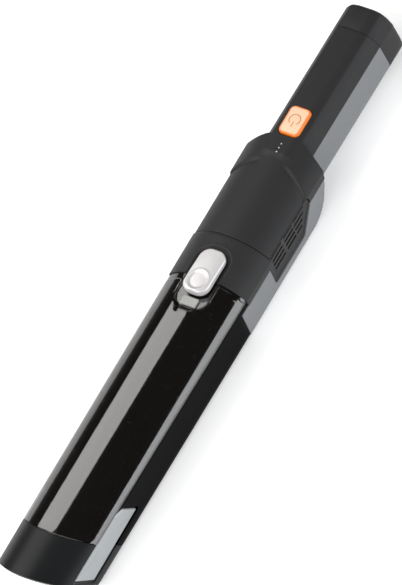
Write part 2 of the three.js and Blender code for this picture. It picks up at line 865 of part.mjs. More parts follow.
function releaseButton() {
  const outer = alongX(
    arc(0, bodyHeight - crownRadius, crownRadius + releaseRise, quarter + 0.35, quarter - 0.35, 8)
      .reverse()
      .concat(arc(0, bodyHeight - crownRadius, crownRadius - 0.7, quarter + 0.4, quarter - 0.4, 8)),
    releaseX0 - 1,
    releaseX1 + 1,
  );
  const cap = common(outer, alongZ(releaseOutline(0), 0, reach));
  const dimple = new THREE.SphereGeometry(1, 16, 10).scale(8, 6.8, 1.4);
  dimple.translate(releaseX0 + 10.3, 0, bodyHeight + releaseRise);
  const hinge = box(releasePivotX - 2.6, releasePivotX + 2.6, -5, 5, releasePivotZ - 2.6, bodyHeight + 1);
  const tooth = box(releaseX0 + 2.6, releaseX0 + 6.6, -4, 4, pocketFloor + 2.1, bodyHeight + 1);
  const bore = rodY(-reach, reach, releasePivotX, releasePivotZ, releasePin + gap);
  return cut(joined(cut(cap, solid(dimple)), hinge, tooth), bore);
}

function releaseSpring() {
  const wire = 0.4;
  const low = wellFloor + gap + wire;
  const geometry = coil(2.6, wire, bodyHeight - 2.2 - low, 4);
  return solid(geometry.translate(collarX + 5, 0, low));
}

// ---------------------------------------------------------------- motor
const shaftFrom = shroudX + 2.5;
const shaftTo = statorX + statorLength + 5.5;
const bracketThick = 2;
const frontBracket = statorX - gap - bracketThick;
const rearBracket = statorX + statorLength + gap;

function fanShroud() {
  const eye = 0.45 * shroudRadius;
  const rear = frontBracket - gap;
  const skin = 1.5;
  return turned([
    [shroudX, eye],
    [shroudX, shroudRadius],
    [rear, shroudRadius],
    [rear, shroudRadius - skin],
    [shroudX + skin, shroudRadius - skin],
    [shroudX + skin, eye],
    [shroudX, eye],
  ].reverse());
}

function impeller() {
  const from = shroudX + 3;
  const to = from + fanLength;
  const tip = shroudRadius - 3;
  const hub = turned([
    [to, 0],
    [to, tip],
    [to - 1.2, tip],
    [to - 3, 0.5 * tip],
    [from, 0.25 * tip],
    [from, 0],
  ].reverse());
  const blades = Array.from({ length: fanBlades }, (_, i) => {
    const blade = new THREE.BoxGeometry(fanLength - 3.4, tip - 3.6, 0.9);
    blade.rotateX(0.6).translate(from + 2 + (fanLength - 3.4) / 2, tip / 2 + 0.6, 4);
    return solid(blade.rotateX((2 * Math.PI * i) / fanBlades).translate(0, 0, axisHeight));
  });
  const reachable = rodX(from, to, 0, axisHeight, tip, 24);
  const bore = rodX(-reach, reach, 0, axisHeight, shaftRadius + gap);
  return cut(common(joined(hub, blades), reachable), bore);
}

function stator() {
  const ring = cut(
    rodX(statorX, statorX + statorLength, 0, axisHeight, statorRadius, 24),
    rodX(-reach, reach, 0, axisHeight, statorRadius - statorWall + 2, 24),
  );
  const teeth = Array.from({ length: 6 }, (_, i) => {
    const inner = magnetRadius + 1;
    const tooth = new THREE.BoxGeometry(statorLength - 4, statorRadius - 1 - inner, 4);
    tooth.translate(statorX + statorLength / 2, (statorRadius - 1 + inner) / 2, 0);
    return solid(tooth.rotateX((Math.PI * i) / 3).translate(0, 0, axisHeight));
  });
  return joined(ring, teeth);
}

// Disc with three round openings that carries a bearing in its middle.
function bracket(from, radius) {
  const disc = rodX(from, from + bracketThick, 0, axisHeight, radius, 24);
  const windows = Array.from({ length: 3 }, (_, i) => {
    const angle = (2 * Math.PI * i) / 3;
    const middle = (radius + bearingRadius) / 2;
    const size = (radius - bearingRadius) / 2 - 1.4;
    return rodX(-reach, reach, middle * Math.sin(angle), axisHeight + middle * Math.cos(angle), size, 12);
  });
  return cut(disc, windows, rodX(-reach, reach, 0, axisHeight, bearingRadius + gap));
}

function bearing(from) {
  return turned([
    [from, shaftRadius + gap],
    [from + bearingWidth, shaftRadius + gap],
    [from + bearingWidth, bearingRadius],
    [from, bearingRadius],
    [from, shaftRadius + gap],
  ]);
}

function sleeve(from, to, inner, outer) {
  return cut(
    rodX(from, to, 0, axisHeight, outer, 24),
    rodX(from - 1, to + 1, 0, axisHeight, inner, 24),
  );
}

function inletGrille() {
  const from = collarX + spigotLength + 2 * gap;
  const plate = common(
    alongX(hull(housingHalf - wall - gap, housingTop - wall - gap, wall + 2 * gap), from, from + wall),
    box(noseX, endX, -reach, reach, -reach, wellBottom - gap),
  );
  const holes = [];
  for (const [count, radius] of [[1, 0], [6, 6.4], [10, 12.4]]) {
    for (let i = 0; i < count; i += 1) {
      const angle = (2 * Math.PI * i) / count;
      const y = radius * Math.sin(angle);
      const z = filterHeight + radius * Math.cos(angle);
      holes.push(rodX(from - 1, from + wall + 1, y, z, 2.4, 6));
    }
  }
  return cut(plate, holes);
}

function cupSeal() {
  const outer = wellBottom - gap - filterHeight;
  const from = collarX - wall + gap;
  const to = collarX + spigotLength + gap;
  const hole = rodX(from - 1, to + 1, 0, filterHeight, outer - 2, 24);
  return cut(rodX(from, to, 0, filterHeight, outer, 24), hole);
}

function exhaustFoam(side) {
  const edges = span(side, foamInner, foamOuter);
  const from = Math.max(housingX + 1, seats[0].x + seats[0].width + 1);
  return box(from, Math.min(housingX + 30.5, seats[1].x - 1), ...edges, ventBottom + 6, ventTop - 1);
}

// ---------------------------------------------------------------- handle contents
const lightSpots = [-1, 0, 1].map((i) => shoulderX + lightFromShoulder + i * lightPitch);
const boardTop = bodyHeight - 9;
const boardThick = 1.6;
const cellFrom = capX - 1.5 - cellLength;
const cellBottom = (x) => handleTop(x) - handleDepth + handleWall + gap + cellRadius;
const holderThick = 2;

function powerButton() {
  const bottom = powerBottom;
  const top = bottom + powerDepth;
  const halfLength = powerLength / 2;
  const halfWidth = powerWidth / 2;
  const cap = alongZ(roundedRectangle(-halfLength, halfLength, halfWidth, powerCorner), bottom, top);
  const flange = box(-flangeLength / 2, flangeLength / 2, -flangeHalf, flangeHalf, bottom, flangeTop);
  return joined(cap, flange).translate([powerX, 0, 0]);
}

function powerSwitch() {
  const top = handleTop(powerX) + powerRise - powerDepth - powerTravel - gap;
  return joined(
    box(powerX - 3, powerX + 3, -3, 3, boardTop + gap, top - 0.8),
    rodZ(boardTop + gap, top, powerX, 0, 1.7),
  );
}

function lightPipe() {
  const bar = box(lightSpots[0] - 2, lightSpots[2] + 2, -1.5, 1.5, boardTop + gap, boardTop + 4);
  const prongs = lightSpots.map((x) => rodZ(boardTop + 1, handleTop(x) + 0.05, x, 0, lightRadius, 8));
  return joined(bar, prongs);
}

function controlBoard() {
  const from = rearBracket + bearingWidth + 8;
  const to = cellFrom - holderThick - 3 * gap;
  return box(from, to, -0.68 * handleHalf, 0.68 * handleHalf, boardTop - boardThick, boardTop);
}

const cellSpots = [
  { y: -(cellRadius + gap / 2), up: 0 },
  { y: cellRadius + gap / 2, up: 0 },
  { y: 0, up: Math.sqrt(3) * (cellRadius + gap / 2) },
];
const packFall = cellBottom(cellFrom); // the pack lies level, so its near end sets its height

function batteryCell(spot) {
  return rodX(cellFrom, cellFrom + cellLength, spot.y, packFall + spot.up, cellRadius, 18);
}

// End plate of the pack, cut down to clear the power button when it is pressed.
function packHolder(from) {
  const roof = handleTop(powerX) + powerRise - powerDepth - powerTravel - 2 * gap;
  const slice = handleBar(handleWall + gap, from, from + holderThick);
  const plate = common(slice, box(noseX, endX, -reach, reach, 0, roof));
  return cut(plate, rodX(-reach, reach, 0, packFall + cellSpots[2].up / 3, 4, 12));
}

const capRound = 3.5;
const socketHeight = 0.52 * bodyHeight;

function endCap() {
  const body = handleBar(0, capX - capLength, endX - capRound, {
    bevelEnabled: true,
    bevelThickness: capRound,
    bevelSize: capRound,
    bevelOffset: -capRound,
    bevelSegments: 3,
  });
  const from = box(capX, endX + wall, -reach, reach, -reach, reach);
  const room = handleBar(handleWall, capX - wall, endX - 2.5);
  const screws = capScrewSpots.map(({ y, z }) => rodX(endX - 8, endX, y, z, bossRadius));
  const shell = joined(cut(common(body, from), room), screws.map((boss) => boss.intersect(body)));
  return cut(
    shell,
    capScrewSpots.map(({ y, z }) => rodX(endX - 9, endX + 1, y, z, screwRadius + gap)),
    capScrewSpots.map(({ y, z }) => rodX(endX - 3, endX + 1, y, z, screwHead + gap)),
    rodX(endX - wall - 8, endX + 1, 0, socketHeight, 5 + gap),
  );
}

const capScrewSpots = [-1, 1].map((side) => ({ y: side * 0.55 * handleHalf, z: 0.34 * bodyHeight }));

function chargingSocket() {
  const barrel = cut(
    rodX(endX - 10.5, endX - 0.4, 0, socketHeight, 5),
    rodX(endX - 9, endX + 1, 0, socketHeight, 2.75),
  );
  return joined(barrel, rodX(endX - 10, endX - 1.4, 0, socketHeight, 1, 8));
}

// A screw along +Z with its head at the bottom.
function screwGeometry(length) {
  const profile = [
    [0, 0],
    [screwHead, 0],
    [screwHead, screwHeadHeight],
    [screwRadius, screwHeadHeight],
    [screwRadius, length],
    [0, length],
  ];
  const lathe = new THREE.LatheGeometry(profile.map(([r, h]) => new THREE.Vector2(r, h)), 10);
  return lathe.rotateX(quarter);
}

// ---------------------------------------------------------------- materials and the scene graph
const paint = {
  darkShell: [0x3b3b3d, 0.55, 0],
  greyShell: [0x8a8c8e, 0.5, 0],
  nozzle: [0x3a3a3c, 0.6, 0],
  smoked: [0x14100e, 0.08, 0],
  glossBlack: [0x08090a, 0.1, 0],
  silver: [0xd7d5d6, 0.3, 0.2],
  orange: [0xff9a3a, 0.35, 0],
  lens: [0xb9bdbe, 0.3, 0.1],
  rubber: [0x1c1c1d, 0.85, 0],
  steel: [0xb4b6b8, 0.3, 1],
  copper: [0x9a5a32, 0.45, 0.6],
  board: [0x1d5a34, 0.6, 0],
  white: [0xe8e8e4, 0.6, 0],
  cell: [0x2b6cb0, 0.4, 0],
  foam: [0x2a2a2a, 0.95, 0],
};

const vacuum = new THREE.Group();

function add(parent, name, shape, look) {
  const [color, roughness, metalness] = paint[look];
  const geometry = shape.isBufferGeometry ? shape : geometryOf(shape);
  const mesh = new THREE.Mesh(geometry, new THREE.MeshStandardMaterial({ color, roughness, metalness }));
  mesh.name = name;
  parent.add(mesh);
  return mesh;
}

function buildHousing() {
  const housing = new THREE.Group();
  add(housing, "collar", collar(), "darkShell");
  add(housing, "upper_shell", upperShell(), "darkShell");
  add(housing, "lower_shell", lowerShell(), "greyShell");
  add(housing, "end_cap", endCap(), "darkShell");
  add(housing, "charging_socket", chargingSocket(), "rubber");
  add(housing, "inlet_grille", inletGrille(), "rubber");
  add(housing, "cup_seal", cupSeal(), "rubber");
  add(housing, "release_pin", rodY(-7.6, 7.6, releasePivotX, releasePivotZ, releasePin), "steel");
  add(housing, "release_spring", releaseSpring(), "steel");
  for (const [name, side] of Object.entries(sides)) {
    add(housing, `vent_panel_${name}`, ventPanel(side), "darkShell");
    add(housing, `exhaust_foam_${name}`, exhaustFoam(side), "foam");
  }
  for (const [i, spot] of screwSpots.entries()) {
    for (const [name, side] of Object.entries(sides)) {
      const screw = add(housing, `shell_screw_${i + 1}_${name}`, screwGeometry(15), "steel");
      screw.position.set(spot.x, side * spot.y, seatHeight - gap - screwHeadHeight);
    }
  }
  return housing;
}

function buildMotor() {
  const motor = new THREE.Group();
  add(motor, "fan_shroud", fanShroud(), "rubber");
  add(motor, "motor_stator", stator(), "copper");
  add(motor, "motor_bracket_front", bracket(frontBracket, statorRadius + 3), "steel");
  add(motor, "motor_bracket_rear", bracket(rearBracket, statorRadius), "steel");
  add(motor, "bearing_front", bearing(frontBracket - 0.5), "steel");
  add(motor, "bearing_rear", bearing(rearBracket - 0.5), "steel");
  seats.forEach(({ x, width, radius }, i) => {
    const inner = i === 0 ? shroudRadius + gap : statorRadius + gap;
    add(motor, `motor_mount_${i + 1}`, sleeve(x - 1, x + width + 1, inner, radius - gap), "rubber");
  });
  return motor;
}

function buildRotor() {
  const rotor = new THREE.Group();
  add(rotor, "motor_shaft", rodX(shaftFrom, shaftTo, 0, axisHeight, shaftRadius, 12), "steel");
  add(rotor, "impeller", impeller(), "white");
  const magnet = sleeve(statorX + 2, statorX + statorLength - 2, shaftRadius + gap, magnetRadius);
  add(rotor, "rotor_magnet", magnet, "steel");
  return rotor;
}

function buildHandle() {
  const handle = new THREE.Group();
  add(handle, "control_board", controlBoard(), "board");
  add(handle, "power_switch", powerSwitch(), "rubber");
  add(handle, "battery_light_pipe", lightPipe(), "white");
  cellSpots.forEach((spot, i) => add(handle, `battery_cell_${i + 1}`, batteryCell(spot), "cell"));
  add(handle, "pack_holder_front", packHolder(cellFrom - gap - holderThick), "white");
  add(handle, "pack_holder_rear", packHolder(cellFrom + cellLength + gap), "white");
  capScrewSpots.forEach(({ y, z }, i) => {
    const screw = add(handle, `cap_screw_${i + 1}`, screwGeometry(9), "steel");
    screw.rotation.y = -quarter;
    screw.position.set(endX - 3 + screwHeadHeight + gap, y, z);
  });
  return handle;
}

function buildCup() {
  const cup = new THREE.Group();
  add(cup, "dust_cup", cupClear(), "smoked");
  add(cup, "cup_tray", cupTray(), "glossBlack");
  add(cup, "nozzle", nozzle(), "nozzle");
  add(cup, "inlet_duct", inletDuct(), "rubber");
  add(cup, "cup_catch", cupCatch(), "lens");
  add(cup, "flap_pin", rodY(-earOuter + 0.4, earOuter - 0.4, hingeX, hingeZ, pinRadius), "steel");
  add(cup, "flap_spring", flapSpring(), "steel");
  for (const [name, side] of Object.entries(sides)) {
    add(cup, `lamp_lens_${name}`, lampLensPiece(side), "lens");
    add(cup, `lamp_board_${name}`, lampBoard(side), "board");
  }
  const flap = add(cup, "inlet_flap", inletFlap(), "rubber");
  flap.position.set(hingeX, 0, hingeZ);
  flap.rotation.y = flapTilt;
  return cup;
}

function buildFilter() {
  const filter = new THREE.Group();
  add(filter, "filter_screen", filterScreen(), "rubber");
  add(filter, "hepa_filter", hepaFilter(), "white");
  add(filter, "filter_ring", filterRing(), "rubber");
  return filter;
}

vacuum.add(buildHousing(), buildMotor(), buildRotor(), buildHandle(), buildCup(), buildFilter());
add(vacuum, "release_button", releaseButton(), "silver");
add(vacuum, "power_button", powerButton(), "orange");

export default vacuum;
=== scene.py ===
"""Looks for a cordless handheld vacuum cleaner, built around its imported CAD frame."""

import math

import bmesh
import bpy
import numpy as np
from mathutils import Matrix, Vector


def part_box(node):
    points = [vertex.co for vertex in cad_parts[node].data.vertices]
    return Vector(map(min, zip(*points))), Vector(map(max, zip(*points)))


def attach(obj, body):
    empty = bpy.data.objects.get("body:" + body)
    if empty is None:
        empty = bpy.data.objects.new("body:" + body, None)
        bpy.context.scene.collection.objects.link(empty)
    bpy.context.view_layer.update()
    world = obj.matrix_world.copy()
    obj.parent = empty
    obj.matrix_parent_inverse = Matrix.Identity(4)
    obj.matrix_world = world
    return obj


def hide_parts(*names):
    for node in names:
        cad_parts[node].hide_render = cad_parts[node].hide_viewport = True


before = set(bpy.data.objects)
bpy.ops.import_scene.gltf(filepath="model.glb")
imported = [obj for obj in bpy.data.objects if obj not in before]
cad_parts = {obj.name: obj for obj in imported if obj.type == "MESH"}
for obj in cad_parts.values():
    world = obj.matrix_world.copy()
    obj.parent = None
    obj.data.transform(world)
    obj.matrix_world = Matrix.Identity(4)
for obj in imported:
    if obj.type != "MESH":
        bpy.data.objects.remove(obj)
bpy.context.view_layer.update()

METRES = 0.001  # the mesh code below works in millimetres


def corner(node, end):
    """Lowest (0) or highest (1) corner of a CAD node, in millimetres."""
    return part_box(node)[end] / METRES


# ---------------------------------------------------------------- stations and sizes, in millimetres
NOSE_X = corner("nozzle", 0).x
COLLAR_X = corner("collar", 0).x
HOUSING_X = corner("upper_shell", 0).x
CAP_X = corner("end_cap", 0).x
END_X = corner("end_cap", 1).x
BODY_TOP = corner("collar", 1).z
CUP_TOP = corner("nozzle", 1).z
BODY_HALF = corner("collar", 1).y
CUP_HALF = corner("cup_tray", 1).y
NOSE_HALF = 28.2
HOUSING_HALF = 29.2
HOUSING_TOP = 48.5
BELLY_HALF = corner("lower_shell", 1).y
HANDLE_HALF = corner("end_cap", 1).y
GAP = 0.3
WALL = 2.0
CROWN = 38.65  # radius of the rounded top, seen along the body
CORNER = 7.0  # radius of the edges along the belly
SEAM_X = -199.3
SEAM_RAKE = 0.62
TIP_RAKE = 0.7
PARTING = 28.0  # height of the line between the collar and the lower shell
SHOULDER_X = 113.5
HANDLE_DROP = 2.4
HANDLE_DEPTH = 40.2
HANDLE_PARTING = 12.0
HANDLE_ROUND = 1.3
BUTTON = {"front": -5.6, "rear": 29.0, "half": 9.7, "corner": 7.5}
POCKET = {"front": -16.6, "half": 13.0, "corner": 10.4, "floor": 44.5}
SOCKET_HEIGHT = 25.48
CAP_SCREW = {"y": 11.1, "z": 16.7}
POWER = {"x": 136.4, "length": 22.6, "width": 16.2, "corner": 4.0}


def smooth(values, low, high):
    """Soft step from 0 at low to 1 at high."""
    t = np.clip((np.asarray(values, float) - low) / (high - low), 0, 1)
    return t * t * (3 - 2 * t)


def tip_line(z):
    return NOSE_X + TIP_RAKE * (CUP_TOP - z)


def seam_line(z):
    return SEAM_X + SEAM_RAKE * (CUP_TOP - z)


def cup_half(x):
    return NOSE_HALF + (CUP_HALF - NOSE_HALF) * (x - NOSE_X) / (COLLAR_X - NOSE_X)


def handle_top(x):
    return BODY_TOP - HANDLE_DROP * (x - SHOULDER_X) / (END_X - SHOULDER_X)


# ---------------------------------------------------------------- outlines
def rounded_rectangle(x0, x1, half, radius, steps=10):
    """Counter-clockwise outline, as an array of (x, y)."""
    points = []
    for cx, cy, start in (
        (x1 - radius, -half + radius, -90),
        (x1 - radius, half - radius, 0),
        (x0 + radius, half - radius, 90),
        (x0 + radius, -half + radius, 180),
    ):
        for a in np.radians(np.linspace(start, start + 90, steps + 1)):
            points.append((cx + radius * math.cos(a), cy + radius * math.sin(a)))
    return np.array(points)


def circle(x, y, radius, count=32):
    """Counter-clockwise outline of a round hole."""
    turns = np.linspace(0, 2 * math.pi, count + 1)[:-1]
    return np.array([(x + radius * math.cos(a), y + radius * math.sin(a)) for a in turns])


def spaced(outline, step):
    """Adds points along a closed outline's long edges, so that no edge is longer than step."""
    points = []
    for start, end in zip(outline, np.roll(outline, -1, axis=0)):
        count = max(int(math.ceil(np.hypot(*(end - start)) / step)), 1)
        points += [start + (end - start) * i / count for i in range(count)]
    return np.array(points)


def distance_inside(x, y, x0, x1, half, radius):
    """How far points lie inside a rounded rectangle; below 0 outside it."""
    px = np.abs(x - (x0 + x1) / 2) - (x1 - x0) / 2 + radius
    py = np.abs(y) - half + radius
    outside = np.hypot(np.maximum(px, 0), np.maximum(py, 0))
    return radius - outside - np.minimum(np.maximum(px, py), 0)


def filleted(points, radius, steps=4):
    """Rounds every inner corner of an open line, keeping its two ends."""
    points = [np.array(p, float) for p in points]
    out = [points[0]]
    for before, here, after in zip(points, points[1:], points[2:]):
        reach = min(radius, np.linalg.norm(before - here) * 0.45, np.linalg.norm(after - here) * 0.45)
        a = here + (before - here) / np.linalg.norm(before - here) * reach
        b = here + (after - here) / np.linalg.norm(after - here) * reach
        for t in np.linspace(0, 1, steps + 1):
            out.append(a * (1 - t) ** 2 + 2 * here * t * (1 - t) + b * t**2)
    out.append(points[-1])
    return np.array(out)


def rounded_loop(points, radius, steps=4):
    """Rounds every corner of a closed outline."""
    points = [np.array(p, float) for p in points]
    start = (points[-1] + points[0]) / 2
    line = filleted([start, *points, start], radius, steps)
    return line[:-1]


def grown(outline, distance):
    """Moves a counter-clockwise outline outwards, with mitred corners."""
    back = outline - np.roll(outline, 1, axis=0)
    ahead = np.roll(outline, -1, axis=0) - outline
    normals = []
    for edge in (back, ahead):
        length = np.maximum(np.linalg.norm(edge, axis=1, keepdims=True), 1e-9)
        normals.append(np.column_stack([edge[:, 1], -edge[:, 0]]) / length)
    total = normals[0] + normals[1]
    scale = np.maximum((total * normals[0]).sum(axis=1, keepdims=True), 0.3)
    return outline + total / scale * distance


# ---------------------------------------------------------------- sections of the body
def crown_side(half, top, low, edge, crown_steps=44, edge_steps=7, flank_steps=5):
    """One side of a section, from the middle of the crown over the ridge and down to low, as (y, z)."""
    centre = top - CROWN
    lift = math.sqrt((CROWN - edge) ** 2 - (half - edge) ** 2)
    start = math.atan2(lift, half - edge)
    base = centre + lift
    stop = math.asin(min(max((low - base) / edge, 0), 1))
    crown_turns = np.linspace(math.pi / 2, start, crown_steps)
    edge_turns = np.linspace(start, stop, edge_steps)
    points = [(CROWN * math.cos(a), centre + CROWN * math.sin(a)) for a in crown_turns]
    arc = [(half - edge + edge * math.cos(a), base + edge * math.sin(a)) for a in edge_turns]
    points += arc[1:]
    if stop == 0:
        points += [(half, z) for z in np.linspace(base, low, flank_steps + 1)[1:]]
    return points


def belly_side(half, top, floor, high, edge, radius=CORNER, steps=8):
    """One side of a section, from high on the flank round the belly's corner to its middle, as (y, z)."""
    base = top - CROWN + math.sqrt((CROWN - edge) ** 2 - (half - edge) ** 2)
    begin = math.asin(min(max((high - base) / edge, 0), 1))
    arc = np.linspace(begin, 0, 5)[:-1] if begin > 0 else []
    points = [(half - edge + edge * math.cos(a), base + edge * math.sin(a)) for a in arc]
    points += [(half, z) for z in np.linspace(min(base, high), floor + radius, 12)]
    turns = np.linspace(0, -math.pi / 2, steps + 1)[1:]
    y, z = half - radius, floor + radius
    points += [(y + radius * math.cos(a), z + radius * math.sin(a)) for a in turns]
    points += [(y, floor) for y in np.linspace(half - radius, 0, 8)[1:]]
    return points


def over(side):
    """A whole section over the top, from the -Y side to the +Y side."""
    return [(-y, z) for y, z in reversed(side)] + side[1:]


def under(side):
    """A whole section under the belly, from the +Y side to the -Y side."""
    return side + [(-y, z) for y, z in reversed(side[:-1])]


def handle_side(inset=0.0):
    """One side of the handle's section, downwards from the middle of its back, as (y, drop)."""
    wide = (HANDLE_HALF - inset) / HANDLE_HALF
    tall = (HANDLE_DEPTH - 2 * inset) / HANDLE_DEPTH
    bottom = HANDLE_DEPTH * tall + inset
    line = [(0, 0), (0.3, 0), (0.57, 1.5), (0.78, 6), (0.92, HANDLE_PARTING), (1, 0.72 * HANDLE_DEPTH)]
    points = [(HANDLE_HALF * y * wide, inset + drop * tall) for y, drop in line]
    side = HANDLE_HALF - inset
    radius = 8 - inset
    points += [
        (side - radius + radius * math.cos(a), bottom - radius + radius * math.sin(a))
        for a in np.linspace(0, math.pi / 2, 9)
    ]
    points.append((0, bottom))
    return points


# ---------------------------------------------------------------- meshes
def new_object(name, mesh):
    obj = bpy.data.objects.new(name, mesh)
    bpy.context.scene.collection.objects.link(obj)
    return obj


def from_faces(name, points, faces, turn_outwards=False):
    mesh = bpy.data.meshes.new(name)
    mesh.from_pydata((np.asarray(points, float) * METRES).tolist(), [], faces)
    if turn_outwards:
        work = bmesh.new()
        work.from_mesh(mesh)
        bmesh.ops.remove_doubles(work, verts=work.verts, dist=1e-7)
        bmesh.ops.recalc_face_normals(work, faces=work.faces)
        work.to_mesh(mesh)
        work.free()
    return new_object(name, mesh)


def surface(name, grid, closed=False):
    """A sheet of quads through a grid of points: rows run along the body, columns across it."""
    rows, columns = grid.shape[:2]
    span = columns if closed else columns - 1
    faces = []
    for i in range(rows - 1):
        for j in range(span):
            k = (j + 1) % columns
            faces.append((i * columns + j, (i + 1) * columns + j, (i + 1) * columns + k, i * columns + k))
    return from_faces(name, grid.reshape(-1, 3), faces)


def walled(name, outer, inner):
    """A closed shell between an outer and an inner grid of the same shape."""
    rows, columns = outer.shape[:2]
    size = rows * columns
    faces = []
    for i in range(rows - 1):
        for j in range(columns - 1):
            quad = (i * columns + j, (i + 1) * columns + j, (i + 1) * columns + j + 1, i * columns + j + 1)
            faces.append(quad)
            faces.append(tuple(size + k for k in reversed(quad)))
    border = [j for j in range(columns)]
    border += [i * columns + columns - 1 for i in range(1, rows)]
    border += [(rows - 1) * columns + j for j in range(columns - 2, -1, -1)]
    border += [i * columns for i in range(rows - 2, 0, -1)]
    for a, b in zip(border, border[1:] + border[:1]):
        faces.append((a, b, size + b, size + a))
    points = np.concatenate([outer.reshape(-1, 3), inner.reshape(-1, 3)])
    return from_faces(name, points, faces, turn_outwards=True)


AXES = {
    "x": lambda a, b, level: (level, a, b),
    "y": lambda a, b, level: (a, level, b),
    "z": lambda a, b, level: (a, b, level),
}


def loft(name, outline, profile, axis="z", side=1):
    """A closed solid: the outline moved out by `grow` at each `level` of the profile, with flat ends."""
    rings = []
    for grow, level in profile:
        ring = grown(outline, grow)
        rings.append([AXES[axis](a, b, side * level) for a, b in ring])
    return skin(name, rings)


def framed(name, corners, radius, profile, axis="z", side=1):
    """Like loft, for an outline given by its sharp corners, which are rounded again at every level."""
    corners = np.array(corners, float)
    rings = []
    for grow, level in profile:
        ring = rounded_loop(grown(corners, grow), radius)
        rings.append([AXES[axis](a, b, side * level) for a, b in ring])
    return skin(name, rings)


def skin(name, rings):
    """Closes a stack of rings with the same number of points into a solid."""
    count = len(rings[0])
    points = [p for ring in rings for p in ring]
    faces = [tuple(range(count)), tuple(range(count * (len(rings) - 1), count * len(rings)))]
    for i in range(len(rings) - 1):
        for j in range(count):
            k = (j + 1) % count
            faces.append((i * count + j, i * count + k, (i + 1) * count + k, (i + 1) * count + j))
    return from_faces(name, points, faces, turn_outwards=True)


def crowned(name, outline, base, height, edge, axis="z", side=1, rings=16, edge_steps=6):
    """A closed cap: upright sides, a rounded edge, and a top that follows height(a, b)."""
    layers = [np.column_stack([outline, np.full(len(outline), base)])]
    for angle in np.linspace(0, math.pi / 2, edge_steps + 1):
        ring = grown(outline, -edge * (1 - math.cos(angle)))
        level = height(ring[:, 0], ring[:, 1]) - edge * (1 - math.sin(angle))
        layers.append(np.column_stack([ring, level]))
    inner = grown(outline, -edge)
    centre = inner.mean(axis=0)
    for scale in np.linspace(1, 0, rings + 1)[1:-1]:
        ring = centre + (inner - centre) * scale
        layers.append(np.column_stack([ring, height(ring[:, 0], ring[:, 1])]))
    count = len(outline)
    points = [AXES[axis](a, b, side * level) for layer in layers for a, b, level in layer]
    peak = height(np.array([centre[0]]), np.array([centre[1]]))[0]
    points.append(AXES[axis](centre[0], centre[1], side * peak))
    faces = [tuple(range(count))]
    for i in range(len(layers) - 1):
        for j in range(count):
            k = (j + 1) % count
            faces.append((i * count + j, i * count + k, (i + 1) * count + k, (i + 1) * count + j))
    last = (len(layers) - 1) * count
    faces += [(last + j, last + (j + 1) % count, len(points) - 1) for j in range(count)]
    return from_faces(name, points, faces, turn_outwards=True)


def tube(name, path, radius, steps=10):
    """A closed round bar along an open path."""
    path = np.array(path, float)
    ahead = np.gradient(path, axis=0)
    ahead /= np.linalg.norm(ahead, axis=1, keepdims=True)
    up = np.array([0.0, 0.0, 1.0])
    points = []
    for place, forward in zip(path, ahead):
        across = np.cross(forward, up)
        across /= np.linalg.norm(across)
        lift = np.cross(across, forward)
        for a in np.linspace(0, 2 * math.pi, steps, endpoint=False):
            points.append(place + radius * (across * math.cos(a) + lift * math.sin(a)))
    faces = [tuple(range(steps)), tuple(range(len(points) - steps, len(points)))]
    for i in range(len(path) - 1):
        for j in range(steps):
            k = (j + 1) % steps
            faces.append((i * steps + j, i * steps + k, (i + 1) * steps + k, (i + 1) * steps + j))
    return from_faces(name, points, faces, turn_outwards=True)


def thicken(obj, wall):
    modifier = obj.modifiers.new("wall", "SOLIDIFY")
    modifier.thickness = wall * METRES
    modifier.offset = -1
    modifier.use_even_offset = True


def soften(obj, width, angle=32):
    modifier = obj.modifiers.new("edges", "BEVEL")
    modifier.width = width * METRES
    modifier.segments = 3
    modifier.limit_method = "ANGLE"
    modifier.angle_limit = math.radians(angle)
    modifier.use_clamp_overlap = True


def settle(obj, sharp=38):
    """Turns an object and its modifiers into one plain mesh with smooth faces."""
    bpy.context.view_layer.update()
    graph = bpy.context.evaluated_depsgraph_get()
    mesh = bpy.data.meshes.new_from_object(obj.evaluated_get(graph))
    obj.modifiers.clear()
    old = obj.data
    obj.data = mesh
    mesh.name = obj.name
    if old.users == 0:
        bpy.data.meshes.remove(old)
    mesh.shade_smooth()
    mesh.set_sharp_from_angle(angle=math.radians(sharp))
    return obj


def discard(*objects):
    for obj in objects:
        bpy.data.objects.remove(obj)


def combine(obj, others):
    """Cuts other closed solids out of obj, and removes them."""
    for other in others:
        modifier = obj.modifiers.new("combine", "BOOLEAN")
        modifier.operation = "DIFFERENCE"
        modifier.solver = "EXACT"
        modifier.object = other
    settle(obj)
    discard(*others)
    return obj


def merge(name, objects):
    """One object from several plain meshes."""
    work = bmesh.new()
    for obj in objects:
        work.from_mesh(obj.data)
    mesh = bpy.data.meshes.new(name)
    work.to_mesh(mesh)
    work.free()
    discard(*objects)
    mesh.shade_smooth()
    mesh.set_sharp_from_angle(angle=math.radians(38))
    return new_object(name, mesh)


# ---------------------------------------------------------------- node trees
class Signal:
    """A socket of a node tree. Sums on signals add Math nodes to the tree."""

    def __init__(self, tree, socket):
        self.tree = tree
        self.socket = socket

    def maths(self, operation, *values):
        return self.tree.add("ShaderNodeMath", {"operation": operation}, dict(enumerate(values)))

    def __add__(self, other):
        return self.maths("ADD", self, other)

    def __sub__(self, other):
        return self.maths("SUBTRACT", self, other)

    def __rsub__(self, other):
        return self.maths("SUBTRACT", other, self)

    def __mul__(self, other):
        return self.maths("MULTIPLY", self, other)

    __radd__ = __add__
    __rmul__ = __mul__

    def step(self, low, high):
        """Soft step from 0 at low to 1 at high."""
        settings = {"interpolation_type": "SMOOTHSTEP"}
        return self.tree.add("ShaderNodeMapRange", settings, {0: self, 1: low, 2: high, 3: 0.0, 4: 1.0})


